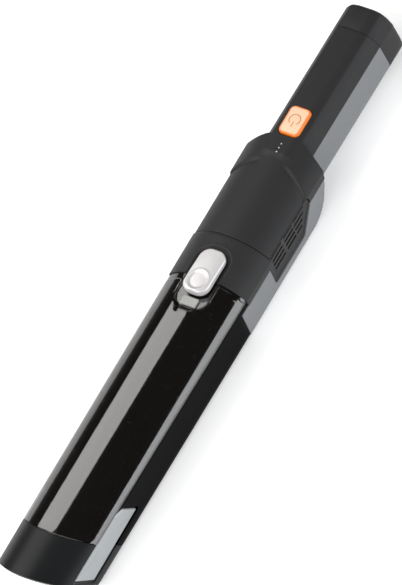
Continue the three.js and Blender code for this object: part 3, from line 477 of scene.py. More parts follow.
class Tree:
    """A node tree that is built by adding one node at a time."""

    def __init__(self, nodes, links):
        self.nodes = nodes
        self.links = links

    def add(self, kind, settings=None, values=None, output=0):
        node = self.nodes.new(kind)
        for key, value in (settings or {}).items():
            setattr(node, key, value)
        for key, value in (values or {}).items():
            self.feed(node.inputs[key], value)
        return Signal(self, node.outputs[output]) if len(node.outputs) else node

    def feed(self, socket, value):
        if isinstance(value, Signal):
            self.links.new(value.socket, socket)
        elif socket.type == "RGBA" and len(value) == 3:
            socket.default_value = (*value, 1.0)
        else:
            socket.default_value = value


class Finish(Tree):
    """A material with one Principled shader, set by the names of its sockets."""

    def __init__(self, name, **fixed):
        self.material = bpy.data.materials.new(name)
        self.material.use_nodes = True
        tree = self.material.node_tree
        tree.nodes.clear()
        super().__init__(tree.nodes, tree.links)
        self.shader = tree.nodes.new("ShaderNodeBsdfPrincipled")
        end = tree.nodes.new("ShaderNodeOutputMaterial")
        tree.links.new(self.shader.outputs[0], end.inputs[0])
        for key, value in fixed.items():
            self.set(key.replace("_", " "), value)

    def set(self, socket, value):
        self.feed(self.shader.inputs[socket], value)

    def place(self, stretch=(1, 1, 1)):
        where = self.add("ShaderNodeTexCoord", output="Object")
        return self.add("ShaderNodeMapping", {}, {"Vector": where, "Scale": stretch})

    def noise(self, size, detail=2.0, stretch=(1, 1, 1)):
        """Cloudy variation from 0 to 1, with features about `size` metres wide."""
        return self.add(
            "ShaderNodeTexNoise", {}, {"Vector": self.place(stretch), "Scale": 1 / size, "Detail": detail}
        )

    def blend(self, low, high, factor):
        return self.add(
            "ShaderNodeMix", {"data_type": "RGBA"}, {0: factor, 6: low, 7: high}, output=2
        )

    def bump(self, height, depth):
        return self.add("ShaderNodeBump", {}, {"Height": height, "Distance": depth, "Strength": 1.0})


def tone(red, green, blue):
    """Linear colour from the 0 to 255 values of a colour chart."""
    out = []
    for value in (red, green, blue):
        v = value / 255
        out.append(v / 12.92 if v <= 0.04045 else ((v + 0.055) / 1.055) ** 2.4)
    return tuple(out)


def shade(colour, factor):
    return tuple(min(c * factor, 1.0) for c in colour)


def moulded(name, colour, roughness, grain=0.00003, spread=0.07, **fixed):
    """Moulded plastic: spark-eroded grain, slow drift in colour and faint handling marks."""
    finish = Finish(name, **fixed)
    pores = finish.noise(0.0005, 3.0)
    mottle = finish.noise(0.02, 4.0)
    rubbed = finish.noise(0.0012, 3.0, (0.06, 1.0, 1.0)).step(0.62, 0.8)
    finish.set("Base Color", finish.blend(shade(colour, 1 - spread), shade(colour, 1 + spread), mottle))
    finish.set("Roughness", roughness + (mottle - 0.5) * 0.12 + (pores - 0.5) * 0.1 - rubbed * 0.07)
    finish.set("Normal", finish.bump(pores, grain))
    return finish


def polished(name, colour, roughness, **fixed):
    """Gloss surface with a slight orange peel, dust and hairlines in its roughness."""
    finish = Finish(name, **fixed)
    peel = finish.noise(0.004, 2.0)
    dust = finish.noise(0.0007, 2.0).step(0.66, 0.78)
    hair = finish.noise(0.0006, 2.0, (0.03, 1.0, 1.0)).step(0.64, 0.74)
    smear = finish.noise(0.03, 3.0)
    finish.set("Base Color", finish.blend(colour, shade(colour, 1.6), smear * 0.6 + dust * 0.4))
    finish.set("Roughness", roughness + dust * 0.12 + hair * 0.06 + smear * 0.03)
    finish.set("Normal", finish.bump(peel, 0.000004))
    return finish


def make_finishes():
    made = {}
    made["dark_shell"] = moulded("dark_shell", tone(45, 45, 46), 0.5, Specular_IOR_Level=0.2)
    made["grey_shell"] = moulded(
        "grey_shell", tone(121, 123, 125), 0.52, spread=0.04, Specular_IOR_Level=0.25
    )
    made["nozzle_plastic"] = moulded(
        "nozzle_plastic", tone(27, 28, 29), 0.32, 0.00001, Specular_IOR_Level=0.14
    )
    made["gloss_black"] = polished("gloss_black", tone(3, 3, 4), 0.14, Specular_IOR_Level=0.02)
    made["inner_black"] = moulded("inner_black", tone(24, 24, 25), 0.6)
    made["white_plastic"] = moulded("white_plastic", tone(225, 222, 214), 0.4, spread=0.03)
    made["rubber"] = moulded("rubber", tone(28, 28, 29), 0.8, 0.00006)

    cup = polished("smoked_cup", tone(12, 9, 7), 0.04, IOR=2.0)
    cup.set("Alpha", 0.66 + cup.noise(0.05, 2.0) * 0.04)
    made["smoked_cup"] = cup

    made["silver_button"] = moulded(
        "silver_button", tone(222, 220, 221), 0.36, 0.00001, 0.02, Metallic=0.3, Specular_IOR_Level=0.4
    )

    orange = moulded("orange_button", tone(255, 150, 60), 0.32, 0.00001, 0.02)
    # The pale peach colour is a painted highlight on the button's top face; rim runs from 0 there to 1 at the
    # edges, which keep the saturated orange of the sides.
    edge = orange.add("ShaderNodeAttribute", {"attribute_name": "rim"}, output="Fac")
    orange.set("Base Color", orange.blend(tone(255, 212, 176), tone(240, 124, 26), edge))
    made["orange_button"] = orange

    lens = moulded("lamp_lens", tone(160, 164, 166), 0.34, 0.000008, 0.03, Metallic=0.45)
    made["lamp_lens"] = lens

    foam = moulded("foam", tone(6, 6, 6), 0.95, 0.0004, Specular_IOR_Level=0.05)
    made["foam"] = foam
    made["catch_plate"] = moulded(
        "catch_plate", tone(166, 167, 163), 0.45, 0.00001, 0.03, Specular_IOR_Level=0.15
    )

    steel = Finish("steel", Metallic=1.0)
    brushed = steel.noise(0.0004, 3.0, (0.05, 1.0, 1.0))
    steel.set("Base Color", steel.blend(tone(150, 150, 152), tone(205, 205, 207), brushed))
    steel.set("Roughness", 0.22 + brushed * 0.2)
    steel.set("Normal", steel.bump(brushed, 0.00001))
    made["steel"] = steel

    motor = Finish("motor_metal", Metallic=1.0)
    sheets = motor.add(
        "ShaderNodeTexWave",
        {"bands_direction": "X"},
        {"Vector": motor.place(), "Scale": 300.0, "Distortion": 0.2},
        output=1,
    )
    motor.set("Base Color", motor.blend(tone(92, 92, 96), tone(150, 148, 146), sheets))
    motor.set("Roughness", 0.35 + motor.noise(0.003) * 0.2)
    motor.set("Normal", motor.bump(sheets, 0.0001))
    made["motor_metal"] = motor

    paper = Finish("filter_paper", Roughness=0.9)
    fibres = paper.noise(0.0006, 5.0, (0.4, 1.0, 1.0))
    paper.set("Base Color", paper.blend(tone(205, 199, 186), tone(240, 237, 229), fibres))
    paper.set("Normal", paper.bump(fibres, 0.00012))
    made["filter_paper"] = paper

    board = moulded("circuit_board", tone(20, 70, 44), 0.35, 0.00001)
    made["circuit_board"] = board

    jacket = moulded("cell_jacket", tone(40, 96, 132), 0.3, 0.00001)
    made["cell_jacket"] = jacket
    return {name: finish.material for name, finish in made.items()}


FINISHES = make_finishes()


def dress(obj, body, slot, *nodes, finish=None):
    """Gives a finished piece its material and its body, and hides the CAD nodes that it stands for."""
    obj.data.materials.clear()
    obj.data.materials.append(FINISHES[finish or slot])
    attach(obj, body)
    if nodes:
        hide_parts(*nodes)
    return obj


# ---------------------------------------------------------------- nozzle, cup and tray
CUP_EDGE = 0.8  # radius of the ridge along the cup
SPIGOT_INSET = 2.3  # inside the collar
WELL_HALF = 12.4  # room for the button's well
NOZZLE_STEP = 1.2  # from the belly up to the nozzle's underside
RIDGE_DROP = 1.4  # from the ridge down to the parting of cup and tray


def nozzle_ring(x):
    """The nozzle's whole section, which stands a little above the belly."""
    half = cup_half(x)
    side = crown_side(half, CUP_TOP, PARTING, CUP_EDGE, 30, 7, 3)
    low = belly_side(half, CUP_TOP, NOZZLE_STEP, PARTING, CUP_EDGE, CORNER - NOZZLE_STEP)
    right = side + [p for p in low if p[1] < PARTING - 0.01]
    left = [(-y, z) for y, z in reversed(right)]
    return left[:-1] + right[:-1]


def slanted(section, front, rear, stations, half_of):
    """Carries a section between two slanted lines, narrowing it as half_of(x) says."""
    rows = []
    base = half_of(rear(BODY_TOP / 2))
    for s in stations:
        row = []
        for y, z in section:
            x = front(z) + (rear(z) - front(z)) * s
            row.append((x, y * half_of(x) / base, z))
        rows.append(row)
    return np.array(rows)


def lamp_outline():
    low, high = 13.4, 33.4
    margin = 4.2
    rear = tip_line(high) + margin + 71.6
    return np.array(
        [
            (tip_line(low) + margin, low),
            (rear, low + 1.2),
            (rear - 10, high - 4),
            (rear - 20, high),
            (tip_line(high) + margin, high),
        ]
    )


def lamp_cutters():
    """A shallow frame and a deeper pocket for each flank's lamp."""
    outline = rounded_loop(lamp_outline(), 1.2, 3)
    cutters = []
    for side in (1, -1):
        cutters.append(loft("frame_cutter", outline, [(1.6, 27.6), (3.0, 40)], "y", side))
        cutters.append(loft("pocket_cutter", outline, [(0.3, 25.6), (0.3, 40)], "y", side))
    return cutters


def lamp_blocks(front, rear):
    """Walls round the lamp pockets, inside the cup, between two slanted lines."""
    outline = rounded_loop(lamp_outline(), 1.2, 3)
    region = np.array([(front(-5), -5), (rear(-5), -5), (rear(60), 60), (front(60), 60)])
    blocks = []
    for side in (1, -1):
        block = loft("lamp_block", outline, [(WALL, 20.6), (WALL, 27.0)], "y", side)
        pocket = loft("room_cutter", outline, [(GAP, 22.6), (GAP, 40)], "y", side)
        slab = loft("region_cutter", region, [(0, -60), (0, 60)], "y")
        modifier = block.modifiers.new("region", "BOOLEAN")
        modifier.operation = "INTERSECT"
        modifier.solver = "EXACT"
        modifier.object = slab
        settle(block)
        discard(slab)
        blocks.append(combine(block, [pocket]))
    return blocks


def make_nozzle():
    section = nozzle_ring(seam_line(BODY_TOP / 2))
    grid = slanted(section, tip_line, lambda z: seam_line(z) - GAP, np.linspace(0, 1, 24), cup_half)
    shell = surface("nozzle_shell", grid, closed=True)
    thicken(shell, WALL)
    settle(shell)
    combine(shell, lamp_cutters())
    soften(shell, 0.35)
    settle(shell)
    blocks = lamp_blocks(tip_line, lambda z: seam_line(z) - GAP)
    shell = merge("nozzle_body", [shell, *blocks])
    return dress(shell, "dust_cup", "nozzle_plastic", "nozzle")


def parting_line(x):
    front = CUP_TOP - CROWN + math.sqrt(CROWN**2 - NOSE_HALF**2) - RIDGE_DROP
    rear = CUP_TOP - CROWN + math.sqrt(CROWN**2 - CUP_HALF**2) - RIDGE_DROP
    return front + (rear - front) * (x - NOSE_X) / (COLLAR_X - NOSE_X)


def cup_rows():
    coarse = np.linspace(0, 0.885, 60)
    fine = np.linspace(0.885, 1, 76)[1:]
    return np.concatenate([coarse, fine])


def make_cup():
    front = lambda z: seam_line(z) + GAP
    rows = []
    for s in cup_rows():
        guess = front(CUP_TOP) + (COLLAR_X - GAP - front(CUP_TOP)) * s
        half = cup_half(guess)
        side = crown_side(half, CUP_TOP, parting_line(guess), CUP_EDGE, 62, 9)
        rows.append([(front(z) + (COLLAR_X - GAP - front(z)) * s, y, z) for y, z in over(side)])
    grid = np.array(rows)
    x, y, z = grid[..., 0], grid[..., 1], grid[..., 2]
    inside = distance_inside(x, y, POCKET["front"], COLLAR_X + 30, POCKET["half"], POCKET["corner"])
    sunk = smooth(inside, -0.9, 1.3)
    grid[..., 2] = z * (1 - sunk) + np.minimum(z, POCKET["floor"]) * sunk
    band = smooth(x, COLLAR_X - 4.6, COLLAR_X - 4.2) * (1 - sunk)
    grid[..., 2] -= band * 0.3
    groove = np.exp(-(((x - (COLLAR_X - 4.6)) / 0.35) ** 2)) * (1 - sunk)
    grid[..., 2] -= groove * 0.25
    shell = surface("dust_cup_clear", grid)
    thicken(shell, 1.6)
    soften(shell, 0.3, 50)
    settle(shell)
    return dress(shell, "dust_cup", "smoked_cup", "dust_cup")


def make_spigot():
    """The cup's rear mouth, which goes into the collar on both sides of the button's well."""
    high = corner("dust_cup", 1)
    half = corner("collar", 1).y - SPIGOT_INSET
    top = BODY_TOP - SPIGOT_INSET
    low = parting_line(COLLAR_X) + 0.8
    side = [p for p in crown_side(half, top, low, CUP_EDGE, 60, 5, 3) if p[0] > WELL_HALF]
    for sign, name in ((1, "left"), (-1, "right")):
        rows = [[(x, sign * y, z) for y, z in side] for x in np.linspace(COLLAR_X - 2.2, high.x, 8)]
        mouth = surface(f"cup_spigot_{name}", np.array(rows))
        thicken(mouth, 1.5)
        soften(mouth, 0.25, 50)
        settle(mouth)
        dress(mouth, "dust_cup", "smoked_cup")


def make_tray():
    front = lambda z: seam_line(z) + GAP
    rows = []
    for s in np.linspace(0, 1, 50):
        guess = front(PARTING) + (COLLAR_X - front(PARTING)) * s
        side = belly_side(cup_half(guess), CUP_TOP, 0, parting_line(guess) - 0.1, CUP_EDGE)
        rows.append([(front(z) + (COLLAR_X - GAP - front(z)) * s, y, z) for y, z in under(side)])
    shell = surface("cup_tray_shell", np.array(rows))
    thicken(shell, WALL)
    settle(shell)
    block = loft(
        "rear_cutter",
        np.array([(-GAP, -5), (30, -5), (30, PARTING + GAP), (-GAP, PARTING + GAP)]),
        [(0, -40), (0, 40)],
        "y",
    )
    combine(shell, [*lamp_cutters(), block])
    soften(shell, 0.3)
    settle(shell)
    blocks = lamp_blocks(front, lambda z: COLLAR_X)
    shell = merge("cup_tray_body", [shell, *blocks])
    return dress(shell, "dust_cup", "gloss_black", "cup_tray")


def make_lamps():
    outline = rounded_loop(lamp_outline(), 0.8, 3)
    for side, name in ((1, "left"), (-1, "right")):

        def face(a, b, side=side):
            bend = 0.4 * smooth(-a, 206, 231)
            return cup_half(a) - 0.1 - bend - 0.5 * smooth(b, 30.5, 33.4)

        lens = crowned(f"lamp_{name}", outline, 25.9, face, 0.75, "y", side, 14, 1)
        settle(lens, 30)
        dress(lens, "dust_cup", "lamp_lens", f"lamp_lens_{name}")


# ---------------------------------------------------------------- collar and release button
def make_collar():
    rows = []
    stations = np.linspace(COLLAR_X, HOUSING_X - 2 * GAP, 84)
    for x in stations:
        side = crown_side(BODY_HALF, BODY_TOP, PARTING + GAP, 2.2, 70, 7, 5)
        rows.append([(x, y, z) for y, z in over(side)])
    grid = np.array(rows)
    x, y, z = grid[..., 0], grid[..., 1], grid[..., 2]
    inside = distance_inside(x, y, BUTTON["front"] - 30, BUTTON["rear"] + 3.6, BUTTON["half"] + 3.6, 10.5)
    top = (np.abs(y) < 22) * 1.0
    dip = smooth(inside, -0.2, 2.6) * top
    ridge = np.exp(-(((inside + 0.5) / 0.8) ** 2)) * top
    grid[..., 2] += ridge * 0.15 - dip * 2.1
    rear = smooth(x, HOUSING_X - 2.2, HOUSING_X - 0.6)
    grid[..., 2] -= rear * 0.25 * (z > 36)
    shell = surface("collar_shell", grid)
    thicken(shell, WALL)
    settle(shell)
    outline = rounded_rectangle(BUTTON["front"] - 30, BUTTON["rear"] + 0.6, BUTTON["half"] + 0.6, 8.1)
    combine(shell, [loft("button_cutter", outline, [(0, 20), (0, 60)])])
    soften(shell, 0.3)
    settle(shell)
    well = loft(
        "button_well",
        rounded_rectangle(COLLAR_X + 0.6, BUTTON["rear"] + 1.8, BUTTON["half"] + 1.9, 8.5),
        [(0, 39.2), (0, 40.4)],
    )
    shell = merge("collar_ring", [shell, well])
    return dress(shell, "housing", "dark_shell", "collar")


def make_release_button():
    outline = rounded_rectangle(BUTTON["front"], BUTTON["rear"], BUTTON["half"], BUTTON["corner"], 26)
    outline = spaced(outline, 0.6)

    def top(a, b):
        crown = BODY_TOP - CROWN + np.sqrt((CROWN + 2.9) ** 2 - b**2) - 0.0016 * (a - BUTTON["front"]) ** 2
        r = np.hypot((a - 3.6) / 7.6, b / 7.0)
        dish = 0.9 * (1 - smooth(r, 0.72, 1.0))
        lip = 0.3 * np.exp(-(((r - 1.06) / 0.1) ** 2))
        return crown - dish + lip

    cap = crowned("release_button_cap", outline, BODY_TOP - 2.5, top, 1.0, rings=64, edge_steps=8)
    settle(cap)
    return dress(cap, "release_button", "silver_button", "release_button")


def make_catch():
    low, high = corner("cup_catch", 0), corner("cup_catch", 1)
    half = high.y
    outline = rounded_loop([(low.x, -half), (high.x, -half), (high.x, half), (low.x, half)], 0.8, 3)

    def top(a, b):
        return high.z - 0.25 * smooth(np.abs(a - (low.x + high.x) / 2), 0.1, 0.9) + 0 * b

    block = crowned("cup_catch_block", outline, low.z, top, 0.4, rings=12)
    settle(block, 30)
    return dress(block, "dust_cup", "lamp_lens", "cup_catch", finish="catch_plate")


# ---------------------------------------------------------------- housing shells
def rim_x(z):
    """The shoulder's rear rim leans back towards the crown."""
    t = np.linspace(0, 1, 40)
    bx = (1 - t) ** 2 * SHOULDER_X + 2 * t * (1 - t) * (SHOULDER_X + 1) + t**2 * (SHOULDER_X + 13.5)
    bz = (1 - t) ** 2 * PARTING + 2 * t * (1 - t) * (PARTING + 12) + t**2 * BODY_TOP
    return np.interp(z, bz, bx)


def handle_back(x, y):
    """Height of the handle's back above a point, as the spine runs out over the shoulder."""
    side = filleted(handle_side()[:6], HANDLE_ROUND)
    drop = np.interp(np.abs(y), side[:, 0], side[:, 1])
    ramp = 46.0 + (x - 98.5) * 0.255
    level = np.minimum(handle_top(x), ramp)
    return level - drop


def soft_max(a, b, blend):
    h = np.clip(0.5 + 0.5 * (a - b) / blend, 0, 1)
    return b * (1 - h) + a * h + blend * h * (1 - h)


def closing_rows(last, behind):
    """Rows that close the shoulder's rear face, from its rim in towards the handle."""
    rows = []
    for inward in (0.1, 0.2, 0.3, 0.4, 0.5):
        row = last.copy()
        row[:, 1] *= 1 - inward
        row[:, 2] += (PARTING + 2 - row[:, 2]) * inward
        row[:, 0] = rim_x(row[:, 2]) - behind
        rows.append(row)
    return np.array(rows)


def make_upper_shell():
    rows = []
    stations = np.concatenate([np.linspace(0, 0.55, 30), np.linspace(0.55, 1, 70)[1:]])
    side = crown_side(HOUSING_HALF, HOUSING_TOP, PARTING + GAP, 1.6, 70, 7, 10)
    section = over(side)
    for s in stations:
        rows.append([(HOUSING_X + (rim_x(z) - HOUSING_X) * s, y, z) for y, z in section])
    grid = np.array(rows)
    x, y, z = grid[..., 0], grid[..., 1], grid[..., 2]
    crease = np.interp(z, [28, 34.7, 42.1, 47.5, 51], [88.2, 90.2, 96.7, 102.7, 106])
    bulge = smooth(x - crease, -0.8, 2.0) * (1 - smooth(z, 45.0, 48.2))
    valley = np.exp(-(((x - crease + 0.6) / 1.5) ** 2)) * (1 - smooth(z, 45.5, 48.2))
    across = np.sign(y) * np.clip(np.abs(y) / CROWN, 0, 1)
    flank = z < 35.2
    normal_y = np.where(flank, np.sign(y), across)
    normal_z = np.where(flank, 0.0, np.sqrt(1 - across**2))
    push = 1.05 * bulge - 0.35 * valley
    grid[..., 1] += normal_y * push
    grid[..., 2] += normal_z * push
    spine = handle_back(grid[..., 0], grid[..., 1])
    lifted = soft_max(grid[..., 2], spine, 0.5)
    reach = smooth(grid[..., 0], 95.5, 98.5) * (np.abs(y) < 22)
    grid[..., 2] = grid[..., 2] * (1 - reach) + lifted * reach
    inner_side = crown_side(HOUSING_HALF - WALL, HOUSING_TOP - WALL, PARTING + GAP, 1.6, 70, 7, 10)
    inner = np.array([[(0.0, y, z) for y, z in over(inner_side)] for _ in stations])
    for i, s in enumerate(stations):
        inner[i, :, 0] = HOUSING_X + (rim_x(inner[i, :, 2]) - WALL - HOUSING_X) * s
    grid = np.concatenate([grid, closing_rows(grid[-1], 0.0)])
    inner = np.concatenate([inner, closing_rows(inner[-1], WALL)])
    shell = walled("upper_shell_skin", grid, inner)
    cutters = []
    for flank_side in (1, -1):
        cutters.append(vent_cutter(flank_side))
    combine(shell, [*cutters, window_cutter()])
    back = make_handle_part("handle_back", upper=True)
    combine(back, [window_cutter()])
    shell = merge("upper_shell_body", [shell, back])
    soften(shell, 0.35, 40)
    settle(shell)
    return dress(shell, "housing", "dark_shell", "upper_shell")


def window_cutter():
    """Opening for the power button, with a chamfered edge."""
    window = rounded_rectangle(
        POWER["x"] - POWER["length"] / 2 - GAP,
        POWER["x"] + POWER["length"] / 2 + GAP,
        POWER["width"] / 2 + GAP,
        POWER["corner"] + GAP,
    )
    level = handle_top(POWER["x"])
    return loft("window_cutter", window, [(0, level - 8), (0, level - 0.7), (1.6, level + 1.6)])


def make_handle_part(name, upper):
    """The handle's upper or lower half as one shell along the falling line of its back."""
    line = handle_side()
    whole = filleted(line, HANDLE_ROUND, 5)
    drop_limit = HANDLE_PARTING if upper else HANDLE_PARTING + GAP
    if upper:
        side = [p for p in whole if p[1] < drop_limit]
        side.append((np.interp(drop_limit, whole[:, 1], whole[:, 0]), drop_limit))
        columns = [(-y, d) for y, d in reversed(side)] + [tuple(p) for p in side[1:]]
        start = SHOULDER_X + 1
    else:
        side = [(np.interp(drop_limit, whole[:, 1], whole[:, 0]), drop_limit)]
        side += [tuple(p) for p in whole if p[1] > drop_limit]
        columns = side + [(-y, d) for y, d in reversed(side[:-1])]
        start = SHOULDER_X - 22
    rows = []
    for x in np.linspace(start, CAP_X - GAP, 40):
        sink = 0.03 if x < SHOULDER_X + 15 else 0.0
        rows.append([(x, y, handle_top(x) - d - (sink if upper else 0)) for y, d in columns])
    part = surface(name, np.array(rows))
    thicken(part, 1.5)
    settle(part)
    return part


def belly_floor(x):
    radius = SHOULDER_X - 1 - (HOUSING_X - GAP + 46)
    centre = SHOULDER_X - 1 - radius
    t = np.clip((x - centre) / radius, 0, 1)
    return PARTING * (1 - math.sqrt(max(1 - t * t, 0))), centre, radius


def make_lower_shell():
    _, centre, radius = belly_floor(0)
    stations = list(np.linspace(0, centre, 24))
    stations += [centre + radius * math.sin(a) for a in np.linspace(0, math.pi / 2, 26)[1:-1]]
    stations.append(SHOULDER_X - 1.002)
    rows = []
    for x in stations:
        floor = belly_floor(x)[0]
        round_edge = max(min(CORNER, (PARTING - floor) * 0.55), 0.02)
        side = [(BELLY_HALF, z) for z in np.linspace(PARTING, floor + round_edge, 12)]
        arc = np.linspace(0, -math.pi / 2, 9)[1:]
        y, z = BELLY_HALF - round_edge, floor + round_edge
        side += [(y + round_edge * math.cos(a), z + round_edge * math.sin(a)) for a in arc]
        side += [(y, floor) for y in np.linspace(BELLY_HALF - round_edge, 0, 8)[1:]]
        rows.append([(x, y, z) for y, z in under(side)])
    shell = surface("lower_shell_belly", np.array(rows))
    thicken(shell, WALL)
    settle(shell)
    cutters = []
    for side in (1, -1):
        cutters.append(vent_cutter(side))
        for x, y in ((22.5, 22.05), (99.0, 19.65)):
            cutters.append(loft("screw_cutter", circle(x, side * y, 3.2), [(0, -5), (0, 21)]))
    combine(shell, cutters)
    grip = make_handle_part("handle_grip", upper=False)
    shell = merge("lower_shell_body", [shell, grip])
    soften(shell, 0.3, 40)
    settle(shell)
    return dress(shell, "housing", "grey_shell", "lower_shell")


# ---------------------------------------------------------------- vents
SLOT_HEIGHT = 1.9
SLOT_PITCH = 4.25
SLOT_GROUPS = (  # start behind the seam, length, depth, and how fast the rows shorten
    (1.6, 13.8, 6, 0),
    (18.4, 11.5, 6, 0),
    (31.2, 14.5, 2.2, 0.176),
)


def vent_corners():
    low, high = corner("vent_panel_left", 0), corner("vent_panel_left", 1)
    knee_x = HOUSING_X - GAP + 35.8
    points = [
        (low.x, low.z),
        (knee_x, low.z),
        (high.x, PARTING - GAP),
        (high.x, high.z),
        (HOUSING_X, high.z),
        (HOUSING_X, PARTING - GAP),
        (low.x, PARTING - GAP),
    ]
    return points


def vent_cutter(side):
    return framed("vent_cutter", vent_corners(), 2.4, [(GAP, 20), (GAP, 40)], "y", side)


def slot_tree():
    """Geometry Nodes: a column of slots that grow shorter row by row."""
    group = bpy.data.node_groups.new("vent_slots", "GeometryNodeTree")
    face = group.interface
    face.new_socket("Geometry", in_out="OUTPUT", socket_type="NodeSocketGeometry")
    for name, kind in (
        ("Rows", "NodeSocketInt"),
        ("Pitch", "NodeSocketFloat"),
        ("Size", "NodeSocketVector"),
        ("Start", "NodeSocketVector"),
        ("Shrink", "NodeSocketFloat"),
        ("Material", "NodeSocketMaterial"),
    ):
        face.new_socket(name, in_out="INPUT", socket_type=kind)
    tree = Tree(group.nodes, group.links)
    inputs = group.nodes.new("NodeGroupInput")
    given = {s.name: Signal(tree, s) for s in inputs.outputs if s.name}
    fall = tree.add("ShaderNodeCombineXYZ", {}, {2: given["Pitch"] * -1.0})
    line = tree.add("GeometryNodeMeshLine", {}, {"Count": given["Rows"], "Offset": fall})
    slot = tree.add("GeometryNodeMeshCube", {}, {"Size": given["Size"]})
    index = tree.add("GeometryNodeInputIndex")
    width = 1.0 - index * given["Shrink"]
    scale = tree.add("ShaderNodeCombineXYZ", {}, {0: width, 1: 1.0, 2: 1.0})
    moved = tree.add("GeometryNodeInstanceOnPoints", {}, {"Points": line, "Instance": slot, "Scale": scale})
    placed = tree.add("GeometryNodeTransform", {}, {"Geometry": moved, "Translation": given["Start"]})
    real = tree.add("GeometryNodeRealizeInstances", {}, {"Geometry": placed})
    dressed = tree.add("GeometryNodeSetMaterial", {}, {"Geometry": real, "Material": given["Material"]})
    end = group.nodes.new("NodeGroupOutput")
    group.links.new(dressed.socket, end.inputs[0])
    return group


def from_tree(name, group, **values):
    """Runs a Geometry Nodes tree once and keeps the result as a plain mesh."""
    obj = new_object(name, bpy.data.meshes.new(name))
    modifier = obj.modifiers.new("rule", "NODES")
    modifier.node_group = group
    for item in group.interface.items_tree:
        if item.in_out == "INPUT" and item.name in values:
            modifier[item.identifier] = values[item.name]
    return settle(obj)


def make_vents():
    group = slot_tree()
    high = corner("vent_panel_left", 1)
    outer = high.y
    for side, name in ((1, "left"), (-1, "right")):
        profile = [
            (0, outer - 2.3),
            (0, outer - 0.35),
            (-0.15, outer - 0.1),
            (-0.45, outer),
            (-1.5, outer),
            (-1.9, outer - 0.12),
            (-2.2, outer - 0.4),
        ]
        panel = framed(f"vent_{name}", vent_corners(), 2.4, profile, "y", side)
        cutters = []
        for start, length, depth, shrink in SLOT_GROUPS:
            size = Vector((length, depth, SLOT_HEIGHT)) * METRES
            x = HOUSING_X - GAP + start + length / 2
            cutter = from_tree(
                "slot_cutter",
                group,
                Rows=4,
                Pitch=SLOT_PITCH * METRES,
                Size=size,
                Start=Vector((x, side * outer, high.z - 0.9 - SLOT_HEIGHT / 2)) * METRES,
                Shrink=shrink,
            )
            if shrink:
                shift_left(cutter, x - length / 2)
            cutters.append(cutter)
        combine(panel, cutters)
        soften(panel, 0.15, 50)
        settle(panel)
        dress(panel, "housing", "dark_shell", f"vent_panel_{name}")


def shift_left(obj, front):
    """Lines up the front ends of slots that were shortened about their middles."""
    work = bmesh.new()
    work.from_mesh(obj.data)
    unseen = set(work.verts)
    while unseen:
        island = {unseen.pop()}
        todo = list(island)
        while todo:
            for edge in todo.pop().link_edges:
                for vert in edge.verts:
                    if vert in unseen:
                        unseen.remove(vert)
                        island.add(vert)
                        todo.append(vert)
        offset = front * METRES - min(v.co.x for v in island)
        for vert in island:
            vert.co.x += offset
    work.to_mesh(obj.data)
    work.free()


# ---------------------------------------------------------------- handle's end and power button
def make_power_button():
    half_length = POWER["length"] / 2
    outline = rounded_rectangle(
        POWER["x"] - half_length, POWER["x"] + half_length, POWER["width"] / 2, POWER["corner"], 12
    )
    level = corner("power_button", 1).z

    def top(a, b):
        return level - 0.25 * ((a - POWER["x"]) / half_length) ** 2 - 0.3 * (b / (POWER["width"] / 2)) ** 2

    base = corner("power_button", 0).z
    cap = crowned("power_button_cap", outline, base, top, 1.5, rings=20, edge_steps=8)
    settle(cap, 60)
    # rim is 0 over the top face, which carries the painted highlight, and 1 at the rounded edges.
    rim = cap.data.attributes.new("rim", "FLOAT", "POINT")
    co = np.zeros(len(cap.data.vertices) * 3)
    cap.data.vertices.foreach_get("co", co)
    co = co.reshape(-1, 3) / METRES
    inside = distance_inside(
        co[:, 0], co[:, 1], POWER["x"] - half_length, POWER["x"] + half_length, POWER["width"] / 2, POWER["corner"]
    )
    rim.data.foreach_set("value", 1 - smooth(inside, 0.7, 2.1))
    dress(cap, "power_button", "orange_button", "power_button")
    path = [
        (POWER["x"] + 0.5 + 4.0 * math.cos(a), 4.0 * math.sin(a), 0)
        for a in np.radians(np.linspace(-142, 142, 40))
    ]
    ring = tube("mark_ring", [(x, y, top(x, y) - 0.08) for x, y, _ in path], 0.32)
    stem_x = np.linspace(POWER["x"] - 5.4, POWER["x"] - 1.2, 6)
    stem = tube("mark_stem", [(x, 0, top(x, 0) - 0.08) for x in stem_x], 0.32)
    mark = merge("power_mark", [settle(ring), settle(stem)])
    dress(mark, "power_button", "orange_button", finish="orange_mark")


def make_end_cap():
    rounding = 3.5
    profile = [(0, CAP_X), (0, (CAP_X + END_X) / 2), (0, END_X - rounding - 2)]
    profile += [
        (rounding * (1 - math.cos(a)), END_X - rounding + rounding * math.sin(a))
        for a in np.linspace(0, math.pi / 2, 9)
    ]
    rows = []
    for inset, x in profile:
        side = filleted(handle_side(inset), HANDLE_ROUND, 5)
        loop = [(x, y, handle_top(x) - d) for y, d in side[1:-1]]
        loop = [(x, 0, handle_top(x) - side[0][1])] + loop + [(x, 0, handle_top(x) - side[-1][1])]
        loop += [(x, -y, handle_top(x) - d) for y, d in reversed(side[1:-1])]
        rows.append(loop)
    last = np.array(rows[-1])
    centre = last.mean(axis=0)
    for scale in (0.8, 0.6, 0.4, 0.2, 0.02):
        rows.append(list(centre + (last - centre) * scale))
    shell = surface("end_cap_shell", np.array(rows), closed=True)
    thicken(shell, WALL)
    settle(shell)
    socket = circle(0, SOCKET_HEIGHT, 5.2, 48)
    cutters = [loft("socket_cutter", socket, [(0, END_X - 12), (0, END_X + 4)], "x")]
    for side in (1, -1):
        hole = circle(side * CAP_SCREW["y"], CAP_SCREW["z"], 3)
        cutters.append(loft("screw_cutter", hole, [(0, END_X - 3.2), (0, END_X + 4)], "x"))
    combine(shell, cutters)
    soften(shell, 0.3)
    settle(shell)
    return dress(shell, "housing", "dark_shell", "end_cap")


